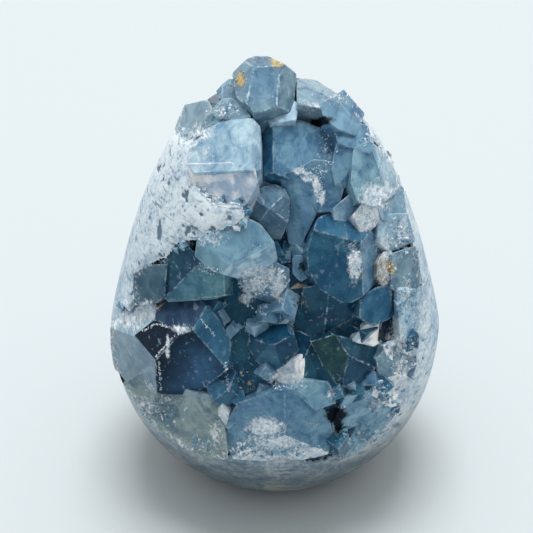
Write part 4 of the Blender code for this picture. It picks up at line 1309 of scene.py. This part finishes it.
# The white druse is streaked paler up to pure white, partly a painted glint; the same streaks vary the rust.
druse_white_and_glints, rust = [
    add_node(tree, "ShaderNodeMix", {0: streaks_and_painted_glints, 6: paint(dull), 7: paint(bright)},
             data_type="RGBA").outputs[2]
    for dull, bright in (("#9cbbd0", "#ffffff"), ("#a5864c", "#d9cba4"))
]
LAID_OVER = (
    (veil, paler),
    # painted glow: light shining through from behind, painted as a brighter blue
    (painted_glow, paint("#5f9bd0")),
    (line, paint("#b3cde0")),
    (deep_line, paint("#234564")),
    (speck, paint("#dfe9f0")),
    # worn edges: pale from real wear and partly a painted highlight along the ridges
    (worn_edge_and_highlight_mask, paint("#c3d8e5")),
    # white druse, with painted glints in it
    (frost_mask, druse_white_and_glints),
    (stain_mask, rust),
    # painted shade in deep pockets
    (painted_shade_mask, paint("#10161d")),
)
base = deeper
for amount, colour in LAID_OVER:
    base = add_node(tree, "ShaderNodeMix", {0: amount, 6: base, 7: colour}, data_type="RGBA").outputs[2]
tree.links.new(base, shader.inputs["Base Color"])
print("celestite has", len(LAID_OVER), "layers of colour")

# %% [markdown]
# How clear a facet is comes with its tone. Where frost, a stain or the painted shade of a dark
# pocket covers it, no light goes through, and it is rough and uneven. Its reflections are kept low
# and blue, because the room round a real stone is darker than this pale studio.

# %% Celestite's clearness and surface
CELESTITE_IOR = 1.62
REFLECTED = 0.25
REFLECTED_TINT = "#6f90ad"
ABSORPTION = "#7fb0d6"
ABSORPTION_PER_METRE = 30
ROUGH_CLEAR = 0.08
ROUGH_COVERED = 0.55
ROUGH_BY_CLOUDS = 0.14
BUMP_BY_CLOUDS = 0.05
BUMP_STRENGTH = 0.55
BUMP_HEIGHT = 0.35

covered = frost_mask
for other in (stain_mask, painted_shade_mask):
    covered = add_node(tree, "ShaderNodeMath", {0: covered, 1: other}, operation="MAXIMUM").outputs[0]
uncovered = add_node(tree, "ShaderNodeMath", {0: 1.0, 1: covered}, operation="SUBTRACT").outputs[0]
clear = add_node(tree, "ShaderNodeMath", {0: tone.outputs["Alpha"], 1: uncovered},
                 operation="MULTIPLY").outputs[0]
rough = add_node(tree, "ShaderNodeMapRange", {"Value": covered, "To Min": ROUGH_CLEAR,
                 "To Max": ROUGH_COVERED}).outputs["Result"]
relief = add_node(tree, "ShaderNodeMath", {0: breaks, 1: covered}, operation="MULTIPLY").outputs[0]
rough, relief = [
    add_node(tree, "ShaderNodeMath", {0: clouds, 1: share, 2: rest}, operation="MULTIPLY_ADD").outputs[0]
    for share, rest in ((ROUGH_BY_CLOUDS, rough), (BUMP_BY_CLOUDS, relief))
]
bump = add_node(tree, "ShaderNodeBump", {"Height": relief, "Strength": BUMP_STRENGTH,
                "Distance": BUMP_HEIGHT * MM})
inside = add_node(tree, "ShaderNodeVolumeAbsorption", {"Color": paint(ABSORPTION),
                  "Density": ABSORPTION_PER_METRE})
tree.links.new(clear, shader.inputs["Transmission Weight"])
tree.links.new(rough, shader.inputs["Roughness"])
tree.links.new(bump.outputs["Normal"], shader.inputs["Normal"])
tree.links.new(inside.outputs[0], output.inputs["Volume"])
shader.inputs["IOR"].default_value = CELESTITE_IOR
shader.inputs["Specular IOR Level"].default_value = REFLECTED
shader.inputs["Specular Tint"].default_value = paint(REFLECTED_TINT)
crust.data.materials.clear()
crust.data.materials.append(celestite)
print("celestite: index", CELESTITE_IOR)

# %% [markdown]
# The outside was ground on a wheel and polished. It cuts through the druse that the geode grew
# in, so it shows a fine mottle of white and grey blue, paler towards the tip. Along the grinding
# run level dark dashes, and open pores are darker. Towards the foot, which turns down away from
# the light, it is painted darker grey with a beige tinge, a painted shade. Inside the hollow the
# broken stone is blue.

# %% Ground stone
STONE_IOR = 1.55
PATCH_SIZE = 9
FLECK_SIZE = 1.1
DASH_SIZE = 1.2
DASH_STRETCH = (0.22, 0.22, 1.3)
DOT_SIZE = 1.9
FOOT_BAND = (13, 33)
TIP_BAND = (60, 85)
TIP_PALER = 0.12
PATCH_SHARE = 0.6
FOOT_DASHES = 0.05
FLECK_BUMP = 0.35
FLECK_HEIGHT = 0.2

ground, tree, shader, output = new_material("ground_celestite_matrix")
where = add_node(tree, "ShaderNodeTexCoord").outputs["Object"]
high_up = add_node(tree, "ShaderNodeSeparateXYZ", {0: where}).outputs["Z"]
pit, within = [
    add_node(tree, "ShaderNodeAttribute", attribute_name=name).outputs["Fac"] for name in ("pit", "within")
]
level = add_node(tree, "ShaderNodeMapping", {0: where, 3: DASH_STRETCH}).outputs[0]
patches, fleck, dashes = [
    add_node(tree, "ShaderNodeTexNoise", {"Vector": laid, "Scale": per_mm(size), "Detail": detail,
             "Roughness": roughness, "Distortion": distortion}).outputs["Fac"]
    for laid, size, detail, roughness, distortion in (
        (where, PATCH_SIZE, 5, 0.6, 0.8), (where, FLECK_SIZE, 6, 0.75, 0.6), (level, DASH_SIZE, 4, 0.6, 0.5))
]
dots = add_node(tree, "ShaderNodeTexVoronoi", {"Vector": where, "Scale": per_mm(DOT_SIZE)})
# Painted shade: the foot turns down away from the light and is painted darker grey with a beige tinge; the
# same amount makes the dashes denser there.
foot = add_node(tree, "ShaderNodeMapRange", {"Value": high_up, "From Min": FOOT_BAND[0] * MM,
                "From Max": FOOT_BAND[1] * MM, "To Min": 1.0, "To Max": 0},
                interpolation_type="SMOOTHSTEP").outputs["Result"]
tip = add_node(tree, "ShaderNodeMapRange", {"Value": high_up, "From Min": TIP_BAND[0] * MM,
               "From Max": TIP_BAND[1] * MM, "To Max": TIP_PALER}).outputs["Result"]
drift, denser = [
    add_node(tree, "ShaderNodeMath", {0: amount, 1: share, 2: rest}, operation="MULTIPLY_ADD").outputs[0]
    for amount, share, rest in ((patches, PATCH_SHARE, fleck), (foot, FOOT_DASHES, dashes))
]
drift = add_node(tree, "ShaderNodeMath", {0: drift, 1: tip}, operation="ADD").outputs[0]
mottle, beige, dash, dot, open_pit, gloss = [
    add_node(tree, "ShaderNodeMapRange", {"Value": value, "From Min": begin, "From Max": full,
             "To Min": least, "To Max": most}).outputs["Result"]
    for value, begin, full, least, most in (
        (drift, 0.66, 0.92, 0, 1), (patches, 0.50, 0.62, 0, 0.55), (denser, 0.59, 0.65, 0, 0.7),
        (dots.outputs["Distance"], 0.22, 0.13, 0, 0.7), (pit, 0.40, 0.60, 0, 1),
        (fleck, 0.3, 0.7, 0.28, 0.6))
]
base, painted_foot_shade = [
    add_node(tree, "ShaderNodeMix", {0: mottle, 6: paint(dull), 7: paint(bright)},
             data_type="RGBA").outputs[2]
    for dull, bright in (("#82a7c2", "#e2ecf2"), ("#3f4e58", "#7d8a91"))
]
painted_foot_shade = add_node(tree, "ShaderNodeMix", {0: beige, 6: painted_foot_shade, 7: paint("#a79c88")},
                    data_type="RGBA").outputs[2]
LAID_OVER = (
    # painted shade at the foot, with a beige tinge
    (foot, painted_foot_shade),
    (dash, paint("#465b6d")),
    (dot, paint("#6f8ba3")),
    (open_pit, paint("#5f7789")),
    (within, paint("#3c668a")),
)
for amount, colour in LAID_OVER:
    base = add_node(tree, "ShaderNodeMix", {0: amount, 6: base, 7: colour}, data_type="RGBA").outputs[2]
bump = add_node(tree, "ShaderNodeBump", {"Height": fleck, "Strength": FLECK_BUMP,
                "Distance": FLECK_HEIGHT * MM})
tree.links.new(base, shader.inputs["Base Color"])
tree.links.new(gloss, shader.inputs["Roughness"])
tree.links.new(bump.outputs["Normal"], shader.inputs["Normal"])
shader.inputs["IOR"].default_value = STONE_IOR
egg.data.materials.clear()
egg.data.materials.append(ground)
print("ground stone material ready")

# %% [markdown]
# ## Floor and light
# The floor is plain pale paper. The sky is brighter above and behind the egg than on the camera's
# side, and one large lamp stands for a window high up behind it, so a soft shadow lies round the
# foot and in front of it. The lamp isn't seen in reflections, where it would show as a hard square.

# %% Floor
FLOOR_SIZE = 6
FLOOR_COLOUR = "#ccd2d4"
FLOOR_ROUGHNESS = 0.8

floor = add_shape(bpy.ops.mesh.primitive_plane_add, size=FLOOR_SIZE)
floor.name = "floor"
paper, tree, shader, output = new_material("pale_paper")
shader.inputs["Base Color"].default_value = paint(FLOOR_COLOUR)
shader.inputs["Roughness"].default_value = FLOOR_ROUGHNESS
floor.data.materials.append(paper)
print("floor ready")

# %% Sky and window
SKY_COLOUR = "#f5f8f9"
SKY_LEVEL = 0.70
SKY_LOW_TO_HIGH = (0.68, 1.42)
SKY_FRONT_TO_BACK = (0.68, 1.1)
WINDOW_PLACE = Vector((0.05, 0.45, 2.4))
WINDOW_SIZE = 1.2
WINDOW_WATTS = 44
WINDOW_COLOUR = "#fafcfd"

world = bpy.data.worlds.new("soft_sky")
bpy.context.scene.world = world
world.use_nodes = True
tree = world.node_tree
toward = add_node(tree, "ShaderNodeTexCoord").outputs["Generated"]
split = add_node(tree, "ShaderNodeSeparateXYZ", {0: toward})
rise, behind = [
    add_node(tree, "ShaderNodeMapRange", {"Value": split.outputs[axis], "From Min": begin,
             "From Max": full, "To Min": limits[0], "To Max": limits[1]}).outputs["Result"]
    for axis, begin, full, limits in (("Z", 0, 0.9, SKY_LOW_TO_HIGH), ("Y", -0.6, 0.6, SKY_FRONT_TO_BACK))
]
power = rise
for factor in (behind, SKY_LEVEL):
    power = add_node(tree, "ShaderNodeMath", {0: power, 1: factor}, operation="MULTIPLY").outputs[0]
sky = tree.nodes["Background"]
sky.inputs["Color"].default_value = paint(SKY_COLOUR)
tree.links.new(power, sky.inputs["Strength"])

window = bpy.data.lights.new("window", "AREA")
window.size = WINDOW_SIZE
window.energy = WINDOW_WATTS
window.color = linear(WINDOW_COLOUR)
lamp = bpy.data.objects.new("window", window)
lamp.location = WINDOW_PLACE
lamp.rotation_euler = WINDOW_PLACE.to_track_quat("Z", "Y").to_euler()
lamp.visible_glossy = False
bpy.context.scene.collection.objects.link(lamp)
bpy.context.scene.view_settings.view_transform = "Standard"
print("lights ready")

# %% [markdown]
# ## Hand over
# The two pieces ride on the one body and stand for its two solids, which are hidden.

# %% Ride and replace
for item, node, slot in ((egg, "matrix", "ground_matrix"), (crust, "crystal_crust", "celestite")):
    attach(item, "root")
    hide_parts(node)
